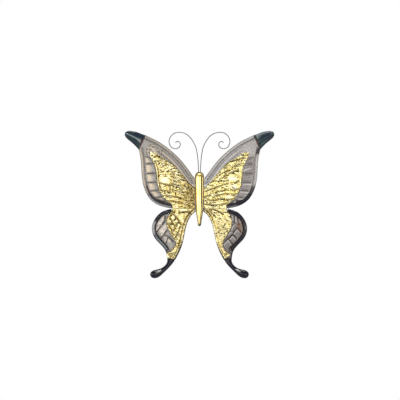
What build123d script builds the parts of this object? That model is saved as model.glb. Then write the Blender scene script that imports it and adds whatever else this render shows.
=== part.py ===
from build123d import *
import os
from math import acos, atan2, cos, pi, radians, sin, sqrt, tan

# Clip-on butterfly ornament, in millimetres, +Z up, seen from -Y.
# The origin is the middle of the round throat in which the clip grips a stem.

# Clip leaves
THROAT_RADIUS = 3.0
LEAF_THICKNESS = 0.8
LEAF_WIDTH = 7.4
JAW_LENGTH = 6.2
HANDLE_LENGTH = 28.5
JAW_GAP = 0.3
LEVER_RISE = 5.4
LEVER_KNEE_DROP = 8.0
LEVER_BEND_DROP = 14.5
LEVER_BEND_RADIUS = 2.0
THUMB_ANGLE = 17.45
LEVER_WRAP_ANGLE = 35.0

# Clip pivot
PIVOT_RISE = 2.7
PIVOT_DROP = 11.5
PIN_RADIUS = 0.75
PIN_HEAD_RADIUS = 1.15
PIN_HEAD_THICKNESS = 0.35
PIN_CLEARANCE = 0.05
EAR_RADIUS = 1.9
EAR_THICKNESS = 0.6
EAR_CLEARANCE = 0.2

# Clip spring
SPRING_WIRE_RADIUS = 0.25
SPRING_COIL_RADIUS = 1.45
SPRING_PITCH = 1.0
SPRING_FULL_TURNS = 3
SPRING_LEG_SHARE = 0.494
SPRING_SEAT_GAP = 0.03
LEAST_TURN_GAP = 0.4
COIL_SAMPLES = 400

# Clip screws
SCREW_RADIUS = 1.0
SCREW_LENGTH = 9.6
SCREW_HEAD_RADIUS = 1.7
SCREW_HEAD_HEIGHT = 1.1
SCREW_SLOT_WIDTH = 0.5
SCREW_SLOT_DEPTH = 0.5
SCREW_CLEARANCE = 0.1
THREAD_CLEARANCE = 0.03
UPPER_SCREW_DROP = 6.9
LOWER_SCREW_INSET = 4.5

# Body
BODY_RADIUS = 4.6
BODY_LENGTH = 54.4
HEAD_OVER_ROOT = 6.65
SADDLE_GAP = 0.25
BOSS_RADIUS = 1.5
BOSS_CLEARANCE = 0.2
SEAT_WIDTH = 5.6
SEAT_GAP = 0.5
CHANNEL_GAP = 0.15
BODY_END_RADIUS = 1.6
BODY_TAPER_SHARES = ((0.978, 0.335), (0.913, 0.515), (0.837, 0.645), (0.74, 0.735), (0.565, 0.845))

# Antennae
ANTENNA_RADIUS = 0.42
ANTENNA_RISE = 39.6
ANTENNA_OFFSET = 1.0
ANTENNA_SOCKET_DEPTH = 4.0
ANTENNA_CLEARANCE = 0.03
# Each bend: its radius as a share of the rise, and the angle it turns
ANTENNA_BEND_SHARES = (
    (3.17, 9.2),
    (0.72, 34.2),
    (0.361, 50.1),
    (0.248, 71.9),
    (0.196, 59.5),
    (0.142, 91.1),
    (0.086, 101.3),
    (0.054, 99.2),
)

# Wings, with shares measured from the body axis and the joint line between fore and hind wing
WING_LIFT_ANGLE = 8.0
WING_JOINT_DROP = 26.4
WING_GAP = 0.2
PANE_THICKNESS = 2.0
BEAD_THICKNESS = 3.4
BEAD_WIDTH = 3.6
BEAD_ROUND = 0.6
INSET_STEPS = 12
ROOT_GAP = 0.5
BODY_SIDE_GAP = 0.4
FOREWING_REACH = 75.2
FOREWING_HEIGHT = 77.6
HINDWING_REACH = 48.0
HINDWING_DROP = 70.2
LEADING_EDGE_SHARES = (
    (0.065, 0.386),
    (0.090, 0.420),
    (0.248, 0.621),
    (0.396, 0.755),
    (0.544, 0.856),
    (0.725, 0.941),
)
OUTER_MARGIN_SHARES = (
    (0.813, 0.755),
    (0.787, 0.624),
    (0.773, 0.418),
    (0.732, 0.237),
    (0.651, 0.108),
    (0.523, 0.032),
    (0.376, 0.0),
)
EDGING_START_SHARE = 0.62
HINDWING_MARGIN_SHARES = (
    (0.589, 0.006),
    (0.789, 0.051),
    (0.933, 0.151),
    (0.994, 0.272),
    (0.947, 0.407),
    (0.811, 0.516),
    (0.703, 0.615),
    (0.672, 0.718),
)
RIM_END_SHARE = 0.87
HINDWING_INNER_SHARES = (
    (0.509, 0.732),
    (0.413, 0.607),
    (0.341, 0.464),
    (0.295, 0.308),
    (0.223, 0.160),
    (0.143, 0.080),
    (0.080, 0.047),
)
# The hidden lap of the hindwing behind the forewing: along the body, then out to the notch
LAP_RISE = 12.4
LAP_CORNER_SHARES = ((0.379, -0.160), (0.547, -0.004))

# Gilding
GILDING_THICKNESS = 0.9
GILDING_EDGE_GAP = 0.8
FORE_GILDING_UPPER_SHARES = (
    (0.188, 0.387),
    (0.302, 0.513),
    (0.409, 0.603),
    (0.510, 0.662),
    (0.597, 0.711),
    (0.660, 0.719),
)
FORE_GILDING_ROOT_SHARE = 0.252
FORE_GILDING_OUTER_SHARES = (
    (0.660, 0.675),
    (0.631, 0.617),
    (0.604, 0.562),
    (0.580, 0.482),
    (0.569, 0.353),
    (0.550, 0.263),
    (0.517, 0.186),
    (0.470, 0.124),
    (0.365, 0.044),
)
HIND_GILDING_OUTER_SHARES = (
    (0.565, 0.012),
    (0.621, 0.066),
    (0.669, 0.130),
    (0.682, 0.194),
    (0.661, 0.279),
    (0.594, 0.370),
    (0.526, 0.439),
    (0.495, 0.493),
    (0.503, 0.553),
    (0.564, 0.610),
    (0.655, 0.668),
)
HIND_GILDING_ROOT_SHARES = (0.165, 0.006)
VEIN_WIDTH = 0.6
VEIN_DEPTH = 0.4
# Veins fan out from the wing root: where each one starts and ends
FORE_VEIN_SHARES = (
    ((0.12, 0.16), (0.575, 0.425)),
    ((0.12, 0.13), (0.560, 0.330)),
    ((0.12, 0.10), (0.535, 0.235)),
    ((0.12, 0.07), (0.490, 0.150)),
    ((0.12, 0.04), (0.420, 0.085)),
    ((0.13, 0.20), (0.600, 0.570)),
    ((0.14, 0.25), (0.560, 0.660)),
)
HIND_VEIN_SHARES = (
    ((0.20, 0.045), (0.640, 0.125)),
    ((0.22, 0.060), (0.640, 0.240)),
    ((0.25, 0.080), (0.560, 0.390)),
    ((0.28, 0.120), (0.470, 0.520)),
    ((0.32, 0.200), (0.520, 0.660)),
)

# Pillow cells and ribs moulded on the panes
CELL_HEIGHT = 0.6
CELL_GROOVE = 0.5
CELL_TAPER_ANGLE = 30.0
FORE_CELL_OUTER_SHARES = (
    (0.713, 0.672),
    (0.716, 0.572),
    (0.711, 0.448),
    (0.698, 0.332),
    (0.668, 0.224),
    (0.614, 0.137),
    (0.527, 0.074),
)
FORE_CELL_INNER_SHARES = (
    (0.688, 0.645),
    (0.628, 0.577),
    (0.600, 0.454),
    (0.588, 0.338),
    (0.568, 0.235),
    (0.524, 0.153),
    (0.450, 0.094),
)
HIND_CELL_OUTER_SHARES = (
    (0.768, 0.115),
    (0.863, 0.187),
    (0.903, 0.279),
    (0.866, 0.386),
    (0.762, 0.479),
    (0.668, 0.567),
)
HIND_CELL_MIDDLE_SHARES = (
    (0.731, 0.117),
    (0.787, 0.190),
    (0.800, 0.276),
    (0.752, 0.373),
    (0.662, 0.459),
    (0.597, 0.540),
)
HIND_CELL_INNER_SHARES = (
    (0.695, 0.120),
    (0.712, 0.194),
    (0.699, 0.272),
    (0.638, 0.359),
    (0.560, 0.439),
    (0.526, 0.514),
)
RIB_WIDTH = 1.2
RIB_HEIGHT = 0.6
RIB_SHARES = (
    ((0.115, 0.395), (0.268, 0.582), (0.402, 0.700), (0.540, 0.796)),
    ((0.118, 0.366), (0.285, 0.545), (0.410, 0.655), (0.520, 0.735)),
)

# Wing tips and tails: each section's place, width, thickness and shift as shares
TIP_LENGTH = 19.4
TIP_THICKNESS = 5.0
TIP_SECTION_SHARES = (
    (0.0, 1.0, 0.8, 0.0),
    (0.2, 0.87, 1.0, -0.04),
    (0.435, 0.755, 1.0, -0.081),
    (0.70, 0.60, 0.92, -0.085),
    (0.86, 0.46, 0.76, -0.083),
    (0.955, 0.29, 0.5, -0.08),
    (1.0, 0.08, 0.16, -0.08),
)
TAIL_DROP_WIDTH = 8.5
TAIL_THICKNESS = 5.2
# Each tail section: its place along and across the hindwing, then its width and thickness
TAIL_SECTION_SHARES = (
    ((0.636, 0.790), 0.60, 0.80),
    ((0.712, 0.850), 0.54, 0.78),
    ((0.806, 0.897), 0.72, 0.90),
    ((0.905, 0.930), 0.97, 1.0),
    ((0.965, 0.941), 0.90, 0.92),
    ((1.010, 0.948), 0.58, 0.60),
    ((1.028, 0.951), 0.16, 0.18),
)

# Derived places
BODY_AXIS_DEPTH = THROAT_RADIUS + LEAF_THICKNESS + SADDLE_GAP + BODY_RADIUS
BODY_PLANE = Plane.XZ.offset(BODY_AXIS_DEPTH)
BODY_AXIS = Axis((0, -BODY_AXIS_DEPTH, 0), (0, 0, 1))
LIFT_COS = cos(radians(WING_LIFT_ANGLE))
LIFT_SIN = sin(radians(WING_LIFT_ANGLE))
FORE_PLANE = Plane(
    origin=(0, -BODY_AXIS_DEPTH, 0),
    x_dir=(LIFT_COS, -LIFT_SIN, 0),
    z_dir=(-LIFT_SIN, -LIFT_COS, 0),
)
HIND_PLANE = FORE_PLANE.offset(-PANE_THICKNESS)
ROOT_TOP = LEADING_EDGE_SHARES[0][1] * FOREWING_HEIGHT - WING_JOINT_DROP
ROOT_BOTTOM = -HINDWING_INNER_SHARES[-1][1] * HINDWING_DROP - WING_JOINT_DROP
HEAD_RISE = ROOT_TOP + HEAD_OVER_ROOT
CHANNEL_TOP = ROOT_TOP + CHANNEL_GAP
CHANNEL_BOTTOM = ROOT_BOTTOM - CHANNEL_GAP
LAP_TOP = LAP_RISE - WING_JOINT_DROP
SCREW_DROPS = (UPPER_SCREW_DROP, HANDLE_LENGTH - LOWER_SCREW_INSET)
FORE_FACE = FORE_PLANE.offset(PANE_THICKNESS / 2)
HIND_FACE = HIND_PLANE.offset(PANE_THICKNESS / 2)
BODY_SIDE = BODY_RADIUS + BODY_SIDE_GAP
LEVER_WIDTH = LEAF_WIDTH - 2 * (EAR_THICKNESS + EAR_CLEARANCE)
PIVOT = (PIVOT_RISE, -PIVOT_DROP)
BASE_LEG_RISE = SPRING_WIRE_RADIUS + SPRING_SEAT_GAP
SPRING_LEG_REACH = SPRING_LEG_SHARE * (HANDLE_LENGTH - PIVOT_DROP)
LEG_END_DROP = PIVOT_DROP + SPRING_LEG_REACH
THUMB_SLOPE = tan(radians(THUMB_ANGLE))
THUMB_RISE = LEVER_RISE + THUMB_SLOPE * (HANDLE_LENGTH - LEVER_BEND_DROP)
THUMB_FACE_RISE = LEVER_RISE + THUMB_SLOPE * (LEG_END_DROP - LEVER_BEND_DROP)
LEVER_LEG_RISE = THUMB_FACE_RISE - BASE_LEG_RISE * sqrt(1 + THUMB_SLOPE**2)


def fore_points(shares):
    """Points on the forewing's plane, from shares of its reach and height."""
    return [(u * FOREWING_REACH, v * FOREWING_HEIGHT - WING_JOINT_DROP) for u, v in shares]


def hind_points(shares):
    """Points on the hindwing's plane, from shares of its reach and drop."""
    return [(u * HINDWING_REACH, -v * HINDWING_DROP - WING_JOINT_DROP) for u, v in shares]


def torpedo():
    """The whole body: a round head, a slow taper and a small round end, turned about its axis."""
    with BuildSketch(BODY_PLANE) as half:
        with BuildLine():
            shoulder = (BODY_RADIUS, HEAD_RISE - BODY_RADIUS)
            taper = [(r * BODY_RADIUS, HEAD_RISE - t * BODY_LENGTH) for r, t in BODY_TAPER_SHARES]
            tail = (0, HEAD_RISE - BODY_LENGTH)
            end = (BODY_END_RADIUS, HEAD_RISE - BODY_LENGTH + BODY_END_RADIUS)
            RadiusArc((0, HEAD_RISE), shoulder, BODY_RADIUS)
            Spline(shoulder, *taper, end)
            RadiusArc(end, tail, BODY_END_RADIUS)
            Line(tail, (0, HEAD_RISE))
        make_face()
    revolve(half.sketch, axis=BODY_AXIS)


def root_strip(plane, low, high):
    """Everything behind a wing's plane between two heights, on both sides of the body."""
    with BuildSketch(plane) as strip:
        with Locations((0, (low + high) / 2)):
            Rectangle(4 * BODY_RADIUS, high - low)
    extrude(strip.sketch, amount=-4 * BODY_RADIUS)


# The space that the wing roots and the body back take up
with BuildPart() as root_channel:
    root_strip(FORE_PLANE.offset(PANE_THICKNESS / 2), -WING_JOINT_DROP, CHANNEL_TOP)
    root_strip(HIND_PLANE.offset(PANE_THICKNESS / 2), CHANNEL_BOTTOM, -WING_JOINT_DROP)
    mirror(about=Plane.YZ)

# The space behind the wing roots, stepped where the hindwing laps behind the forewing
with BuildPart() as back_space:
    root_strip(FORE_PLANE.offset(-PANE_THICKNESS / 2), LAP_TOP + CHANNEL_GAP, ROOT_TOP)
    root_strip(HIND_PLANE.offset(-PANE_THICKNESS / 2), ROOT_BOTTOM, LAP_TOP + CHANNEL_GAP)
    mirror(about=Plane.YZ)

# Body front: head, front and tail end in one, hollowed behind for the wing roots
with BuildPart() as body_front:
    torpedo()
    add(root_channel.part, mode=Mode.SUBTRACT)
    for drop, wing_plane in zip(SCREW_DROPS, (FORE_PLANE, HIND_PLANE)):
        wing_back = wing_plane.offset(-PANE_THICKNESS / 2).origin.Y
        boss_end = wing_back - BOSS_RADIUS * LIFT_SIN / LIFT_COS - CHANNEL_GAP
        with BuildSketch(Plane.XZ.offset(-boss_end)):
            with Locations((0, -drop)):
                Circle(BOSS_RADIUS)
        extrude(amount=boss_end + BODY_AXIS_DEPTH + PANE_THICKNESS)
        with BuildSketch(Plane.XZ.offset(-boss_end)):
            with Locations((0, -drop)):
                Circle(SCREW_RADIUS + THREAD_CLEARANCE)
        extrude(amount=SCREW_LENGTH + boss_end + CHANNEL_GAP, mode=Mode.SUBTRACT)
    with BuildSketch(Plane.XY.offset(HEAD_RISE)):
        with Locations((-ANTENNA_OFFSET, -BODY_AXIS_DEPTH), (ANTENNA_OFFSET, -BODY_AXIS_DEPTH)):
            Circle(ANTENNA_RADIUS + ANTENNA_CLEARANCE)
    extrude(amount=-ANTENNA_SOCKET_DEPTH - ANTENNA_CLEARANCE, mode=Mode.SUBTRACT)

# Body back: the rear of the torpedo, with a flat seat for the clip base
with BuildPart() as body_back:
    torpedo()
    with BuildSketch(Plane.XZ.offset(LEAF_THICKNESS)):
        seat_top = -(THROAT_RADIUS + LEAF_THICKNESS + SEAT_GAP)
        with Locations((0, (seat_top + ROOT_BOTTOM) / 2)):
            Rectangle(SEAT_WIDTH, seat_top - ROOT_BOTTOM)
    extrude(amount=BODY_AXIS_DEPTH - LEAF_THICKNESS)
    add(back_space.part, mode=Mode.INTERSECT)
    with BuildSketch(Plane.XZ.offset(LEAF_THICKNESS)):
        with Locations(*[(0, -drop) for drop in SCREW_DROPS]):
            Circle(SCREW_RADIUS + SCREW_CLEARANCE)
    extrude(amount=BODY_AXIS_DEPTH, mode=Mode.SUBTRACT)


def leading_edge():
    """The forewing's front edge, from the body to the tip."""
    return Spline(*fore_points(LEADING_EDGE_SHARES))


def outer_margin(first=0.0, last=1.0):
    """A stretch of the forewing's outer margin, from the tip down to the notch."""
    whole = Spline(*fore_points(OUTER_MARGIN_SHARES), mode=Mode.PRIVATE)
    return add(whole.trim(first, last)).edge()


def hind_margin(first=0.0, last=1.0):
    """A stretch of the hindwing's outer margin, from the notch to the tail."""
    whole = Spline(*hind_points(HINDWING_MARGIN_SHARES), mode=Mode.PRIVATE)
    return add(whole.trim(first, last)).edge()


def inset(edge, distance):
    """A smooth edge at a steady distance to the right of another one."""
    places = [step / INSET_STEPS for step in range(INSET_STEPS + 1)]
    ways = [edge % place for place in places]
    return Spline(*[edge @ place + Vector(way.Y, -way.X) * distance for place, way in zip(places, ways)])


def bead_band(plane, draw_edge):
    """The area between an edge and its inset, as wide as the bead."""
    with BuildSketch(plane) as band:
        with BuildLine():
            outside = draw_edge()
            inside = inset(outside, BEAD_WIDTH)
            Line(outside @ 0, inside @ 0)
            Line(outside @ 1, inside @ 1)
        make_face()
    return band.sketch


def raised_cells(plane, outer, inner):
    """Pillow cells between two rows of corners, with a groove left around each."""
    for corner in range(len(outer) - 1):
        corners = (outer[corner], outer[corner + 1], inner[corner + 1], inner[corner])
        with BuildSketch(plane) as cell:
            Polygon(*corners, align=None)
            offset(amount=-CELL_GROOVE / 2)
        extrude(cell.sketch, amount=CELL_HEIGHT, taper=CELL_TAPER_ANGLE)


def vein_grooves(plane, starts_and_ends):
    """Narrow straight grooves cut down from a plane."""
    with BuildSketch(plane) as grooves:
        for start, end in starts_and_ends:
            with BuildLine() as vein:
                Line(start, end)
            trace(vein.line, VEIN_WIDTH)
    extrude(grooves.sketch, amount=-VEIN_DEPTH, mode=Mode.SUBTRACT)


def boss_notches(plane):
    """Room in the wing roots for the body's screw bosses."""
    with BuildSketch(plane) as notches:
        with Locations(*[(0, -drop) for drop in SCREW_DROPS]):
            Circle(BOSS_RADIUS + BOSS_CLEARANCE)
    extrude(notches.sketch, amount=PANE_THICKNESS, both=True, mode=Mode.SUBTRACT)


def clear_body_side(plane):
    """Trims what stands proud of a pane where it would meet the body."""
    for face, way in ((PANE_THICKNESS / 2, BEAD_THICKNESS), (-PANE_THICKNESS / 2, -BEAD_THICKNESS)):
        with BuildSketch(plane.offset(face)) as strip:
            Rectangle(2 * BODY_SIDE, 4 * FOREWING_HEIGHT)
        extrude(strip.sketch, amount=way, mode=Mode.SUBTRACT)


def round_bead(pane, plane):
    """Rounds the long edges of a bead, on its front and its back."""
    out = Axis(plane.origin, plane.z_dir)
    layers = pane.edges().group_by(out)
    long_edges = [edge for edge in layers[0] + layers[-1] if edge.length > 2 * BEAD_WIDTH]
    fillet(long_edges, radius=BEAD_ROUND)


def horn(sections):
    """A solid through rising and falling oval sections, each on its own plane."""
    faces = []
    for plane, width, thickness in sections:
        with BuildSketch(plane) as section:
            Ellipse(width / 2, thickness / 2)
        faces.append(section.sketch.face())
    loft(faces)


def section_plane(wing_plane, point, ahead):
    """A plane across a wing at a point, facing along a direction in that wing."""
    forward = Vector(*ahead).normalized()
    middle = wing_plane.from_local_coords(Vector(*point))
    normal = wing_plane.from_local_coords(forward) - wing_plane.origin
    return Plane(origin=middle, x_dir=normal.cross(wing_plane.z_dir), z_dir=normal)


edging_band = bead_band(FORE_PLANE, lambda: outer_margin(EDGING_START_SHARE, 1.0))
rim_band = bead_band(HIND_PLANE, lambda: hind_margin(0.0, RIM_END_SHARE))

# Forewing pane: clear plate with a bead on its edges, ribs and pillow cells
with BuildPart() as forewing_pane:
    with BuildSketch(FORE_PLANE) as plate:
        with BuildLine():
            front = leading_edge()
            back = outer_margin()
            Line(front @ 1, back @ 0)
            Polyline(back @ 1, (ROOT_GAP, -WING_JOINT_DROP), (ROOT_GAP, ROOT_TOP), front @ 0)
        make_face()
    extrude(plate.sketch, amount=PANE_THICKNESS / 2, both=True)
    for draw_edge in (leading_edge, lambda: outer_margin(0.0, EDGING_START_SHARE)):
        band = bead_band(FORE_PLANE, draw_edge)
        extrude(band, amount=BEAD_THICKNESS / 2, both=True)
    clear_body_side(FORE_PLANE)
    round_bead(forewing_pane, FORE_PLANE)
    raised_cells(FORE_FACE, fore_points(FORE_CELL_OUTER_SHARES), fore_points(FORE_CELL_INNER_SHARES))
    for rib in RIB_SHARES:
        with BuildSketch(FORE_FACE) as ridge:
            with BuildLine() as crest:
                Spline(*fore_points(rib))
            trace(crest.line, RIB_WIDTH)
        extrude(ridge.sketch, amount=RIB_HEIGHT)
    extrude(edging_band, amount=BEAD_THICKNESS, both=True, mode=Mode.SUBTRACT)
    boss_notches(FORE_PLANE)

# Forewing edging: the dark band on the lower margin
with BuildPart() as forewing_edging:
    extrude(edging_band, amount=BEAD_THICKNESS / 2, both=True)
    round_bead(forewing_edging, FORE_PLANE)

# Forewing tip: a dark horn on the cut end of the pane
tip_top = Vector(*fore_points(LEADING_EDGE_SHARES)[-1])
tip_foot = Vector(*fore_points(OUTER_MARGIN_SHARES)[0])
tip_across = tip_foot - tip_top
tip_ahead = Vector(-tip_across.Y, tip_across.X).normalized()
tip_sections = []
for place, width, thickness, shift in TIP_SECTION_SHARES:
    middle = (tip_top + tip_foot) * 0.5 + tip_ahead * (place * TIP_LENGTH) + tip_across * shift
    tip_plane = section_plane(FORE_PLANE, middle, tip_ahead)
    tip_sections.append((tip_plane, width * tip_across.length, thickness * TIP_THICKNESS))
with BuildPart() as forewing_tip:
    horn(tip_sections)

# Forewing gilding: the gold field on the front of the pane
with BuildPart() as forewing_gilding:
    with BuildSketch(FORE_FACE) as field:
        with BuildLine():
            root_high = (BODY_SIDE, FORE_GILDING_ROOT_SHARE * FOREWING_HEIGHT - WING_JOINT_DROP)
            root_low = (BODY_SIDE, WING_GAP - WING_JOINT_DROP)
            upper = Spline(root_high, *fore_points(FORE_GILDING_UPPER_SHARES))
            outer = Spline(upper @ 1, *fore_points(FORE_GILDING_OUTER_SHARES))
            foot = ((outer @ 1).X, root_low[1])
            Polyline(outer @ 1, foot, root_low, root_high)
        make_face()
    extrude(field.sketch, amount=GILDING_THICKNESS)
    crest = FORE_FACE.offset(GILDING_THICKNESS)
    vein_grooves(crest, [fore_points(vein) for vein in FORE_VEIN_SHARES])

# Hindwing pane: clear plate that laps behind the forewing, with two columns of cells
with BuildPart() as hindwing_pane:
    with BuildSketch(HIND_PLANE) as plate:
        with BuildLine():
            outside = hind_margin()
            inside = Spline(*hind_points(HINDWING_INNER_SHARES))
            Line(outside @ 1, inside @ 0)
            lap_corners = hind_points(LAP_CORNER_SHARES)
            Polyline(
                inside @ 1,
                (ROOT_GAP, ROOT_BOTTOM),
                (ROOT_GAP, LAP_TOP),
                *lap_corners,
                outside @ 0,
            )
        make_face()
    extrude(plate.sketch, amount=PANE_THICKNESS / 2, both=True)
    cell_rows = [
        hind_points(row)
        for row in (HIND_CELL_OUTER_SHARES, HIND_CELL_MIDDLE_SHARES, HIND_CELL_INNER_SHARES)
    ]
    raised_cells(HIND_FACE, cell_rows[0], cell_rows[1])
    raised_cells(HIND_FACE, cell_rows[1], cell_rows[2])
    extrude(rim_band, amount=BEAD_THICKNESS, both=True, mode=Mode.SUBTRACT)
    boss_notches(HIND_PLANE)

# Hindwing rim: the dark band on the outer margin
with BuildPart() as hindwing_rim:
    extrude(rim_band, amount=BEAD_THICKNESS / 2, both=True)
    round_bead(hindwing_rim, HIND_PLANE)

# Hindwing tail: a black neck and drop on the cut end of the pane
tail_outer = Vector(*hind_points(HINDWING_MARGIN_SHARES)[-1])
tail_inner = Vector(*hind_points(HINDWING_INNER_SHARES)[0])
tail_across = tail_inner - tail_outer
tail_middles = [(tail_outer + tail_inner) * 0.5]
tail_middles += [Vector(*hind_points((place,))[0]) for place, width, thickness in TAIL_SECTION_SHARES]
tail_sections = [
    (
        section_plane(HIND_PLANE, tail_middles[0], (tail_across.Y, -tail_across.X)),
        tail_across.length,
        BEAD_THICKNESS,
    )
]
for index, (place, width, thickness) in enumerate(TAIL_SECTION_SHARES, start=1):
    following = tail_middles[min(index + 1, len(tail_middles) - 1)]
    ahead = following - tail_middles[index - 1]
    tail_plane = section_plane(HIND_PLANE, tail_middles[index], (ahead.X, ahead.Y))
    tail_sections.append((tail_plane, width * TAIL_DROP_WIDTH, thickness * TAIL_THICKNESS))
with BuildPart() as hindwing_tail:
    horn(tail_sections)

# Hindwing gilding: the gold field from the joint line down to the tail
with BuildPart() as hindwing_gilding:
    with BuildSketch(HIND_FACE) as field:
        with BuildLine():
            outside = Spline(*hind_points(HIND_GILDING_OUTER_SHARES))
            edge = Spline(*hind_points(HINDWING_INNER_SHARES), mode=Mode.PRIVATE)
            inside = inset(edge, GILDING_EDGE_GAP)
            Line(outside @ 1, inside @ 0)
            Polyline(inside @ 1, *hind_points((HIND_GILDING_ROOT_SHARES,)), outside @ 0)
        make_face()
        Rectangle(2 * BODY_SIDE, 4 * HINDWING_DROP, mode=Mode.SUBTRACT)
    extrude(field.sketch, amount=GILDING_THICKNESS)
    crest = HIND_FACE.offset(GILDING_THICKNESS)
    vein_grooves(crest, [hind_points(vein) for vein in HIND_VEIN_SHARES])
    extrude(rim_band, amount=BEAD_THICKNESS, both=True, mode=Mode.SUBTRACT)

# Antenna: stiff wire, set in the head and bent into a curl by arcs that follow on from each other
with BuildPart() as antenna:
    with BuildLine(BODY_PLANE) as wire:
        foot = (ANTENNA_OFFSET, HEAD_RISE - ANTENNA_SOCKET_DEPTH)
        stem = Line(foot, (ANTENNA_OFFSET, HEAD_RISE))
        for radius_share, turn in ANTENNA_BEND_SHARES:
            stem = JernArc(stem @ 1, stem % 1, radius_share * ANTENNA_RISE, -turn)
    antenna_path = Wire(wire.edges())
    with BuildSketch(Plane(origin=antenna_path @ 0, z_dir=antenna_path % 0)) as section:
        Circle(ANTENNA_RADIUS)
    sweep(section.sketch, path=antenna_path)


def ears(inner_x, radius, root_rise):
    """A pair of round-ended ears on the pivot, reaching from a leaf to past the pin."""
    for side in (1, -1):
        with BuildSketch(Plane.YZ.offset(side * inner_x)) as ear:
            with Locations(PIVOT):
                Circle(radius)
            with Locations(((PIVOT_RISE + root_rise) / 2, -PIVOT_DROP)):
                Rectangle(abs(root_rise - PIVOT_RISE), 2 * radius)
        extrude(ear.sketch, amount=side * EAR_THICKNESS)


def pivot_hole(radius):
    """The pin's hole through both ears."""
    with BuildSketch(Plane.YZ) as hole:
        with Locations(PIVOT):
            Circle(radius)
    extrude(hole.sketch, amount=LEAF_WIDTH, both=True, mode=Mode.SUBTRACT)


# Clip base: the fixed leaf, with half of the round throat and the outer ears
with BuildPart() as clip_base:
    with BuildSketch(Plane.YZ) as leaf:
        with BuildLine():
            Line((0, -HANDLE_LENGTH), (0, -THROAT_RADIUS))
            ThreePointArc((0, -THROAT_RADIUS), (-THROAT_RADIUS, 0), (0, THROAT_RADIUS))
            Line((0, THROAT_RADIUS), (0, JAW_LENGTH))
            offset(amount=LEAF_THICKNESS, side=Side.LEFT)
        make_face()
    extrude(leaf.sketch, amount=LEAF_WIDTH / 2, both=True)
    ears(LEAF_WIDTH / 2 - EAR_THICKNESS, EAR_RADIUS, -LEAF_THICKNESS)
    pivot_hole(PIN_RADIUS)
    with BuildSketch(Plane.XZ) as screw_holes:
        with Locations(*[(0, -drop) for drop in SCREW_DROPS]):
            Circle(SCREW_RADIUS + SCREW_CLEARANCE)
    extrude(screw_holes.sketch, amount=2 * LEAF_THICKNESS, mode=Mode.SUBTRACT)

# Clip lever: the moving leaf, with the other half of the throat and the inner ears
with BuildPart() as clip_lever:
    with BuildSketch(Plane.YZ) as leaf:
        with BuildLine():
            wrap = radians(LEVER_WRAP_ANGLE)
            mouth = (JAW_GAP, THROAT_RADIUS)
            crown = (JAW_GAP + THROAT_RADIUS, 0)
            wrap_end = (JAW_GAP + THROAT_RADIUS * cos(wrap), -THROAT_RADIUS * sin(wrap))
            Line((JAW_GAP, JAW_LENGTH), mouth)
            ThreePointArc(mouth, crown, wrap_end)
            FilletPolyline(
                wrap_end,
                (LEVER_RISE, -LEVER_KNEE_DROP),
                (LEVER_RISE, -LEVER_BEND_DROP),
                (THUMB_RISE, -HANDLE_LENGTH),
                radius=LEVER_BEND_RADIUS,
            )
            offset(amount=LEAF_THICKNESS, side=Side.LEFT)
        make_face()
    extrude(leaf.sketch, amount=LEVER_WIDTH / 2, both=True)
    ears(LEVER_WIDTH / 2 - EAR_THICKNESS, EAR_RADIUS, LEVER_RISE + LEAF_THICKNESS / 2)
    pivot_hole(PIN_RADIUS + PIN_CLEARANCE)

# Clip pin: the pivot, headed over at both ends
with BuildPart() as clip_pin:
    with BuildSketch(Plane.YZ) as shank:
        with Locations(PIVOT):
            Circle(PIN_RADIUS)
    extrude(shank.sketch, amount=LEAF_WIDTH / 2, both=True)
    for side in (1, -1):
        with BuildSketch(Plane.YZ.offset(side * LEAF_WIDTH / 2)) as head:
            with Locations(PIVOT):
                Circle(PIN_HEAD_RADIUS)
        extrude(head.sketch, amount=side * PIN_HEAD_THICKNESS)

# Clip screws: two slotted pan heads that hold the clip base and the body halves together
with BuildPart() as clip_screws:
    with BuildSketch(Plane.XZ) as shanks:
        with Locations(*[(0, -drop) for drop in SCREW_DROPS]):
            Circle(SCREW_RADIUS)
    extrude(shanks.sketch, amount=SCREW_LENGTH)
    with BuildSketch(Plane.XZ) as heads:
        with Locations(*[(0, -drop) for drop in SCREW_DROPS]):
            Circle(SCREW_HEAD_RADIUS)
    extrude(heads.sketch, amount=-SCREW_HEAD_HEIGHT)
    with BuildSketch(Plane.XZ.offset(-SCREW_HEAD_HEIGHT)) as slots:
        with Locations(*[(0, -drop) for drop in SCREW_DROPS]):
            Rectangle(2 * SCREW_HEAD_RADIUS, SCREW_SLOT_WIDTH)
    extrude(slots.sketch, amount=SCREW_SLOT_DEPTH, mode=Mode.SUBTRACT)


def coil_point(angle, along):
    """A point of the coil, at an angle round the pin and a distance along it."""
    rise = PIVOT_RISE + SPRING_COIL_RADIUS * cos(angle)
    height = SPRING_COIL_RADIUS * sin(angle) - PIVOT_DROP
    return Vector(along, rise, height)


def leg_angle(leg_rise, turning):
    """The angle at which a straight leg from its seat runs onto the coil."""
    across = leg_rise - PIVOT_RISE
    reach = sqrt(across**2 + SPRING_LEG_REACH**2)
    seat_angle = atan2(-SPRING_LEG_REACH, across)
    return seat_angle + turning * acos(SPRING_COIL_RADIUS / reach)


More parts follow.
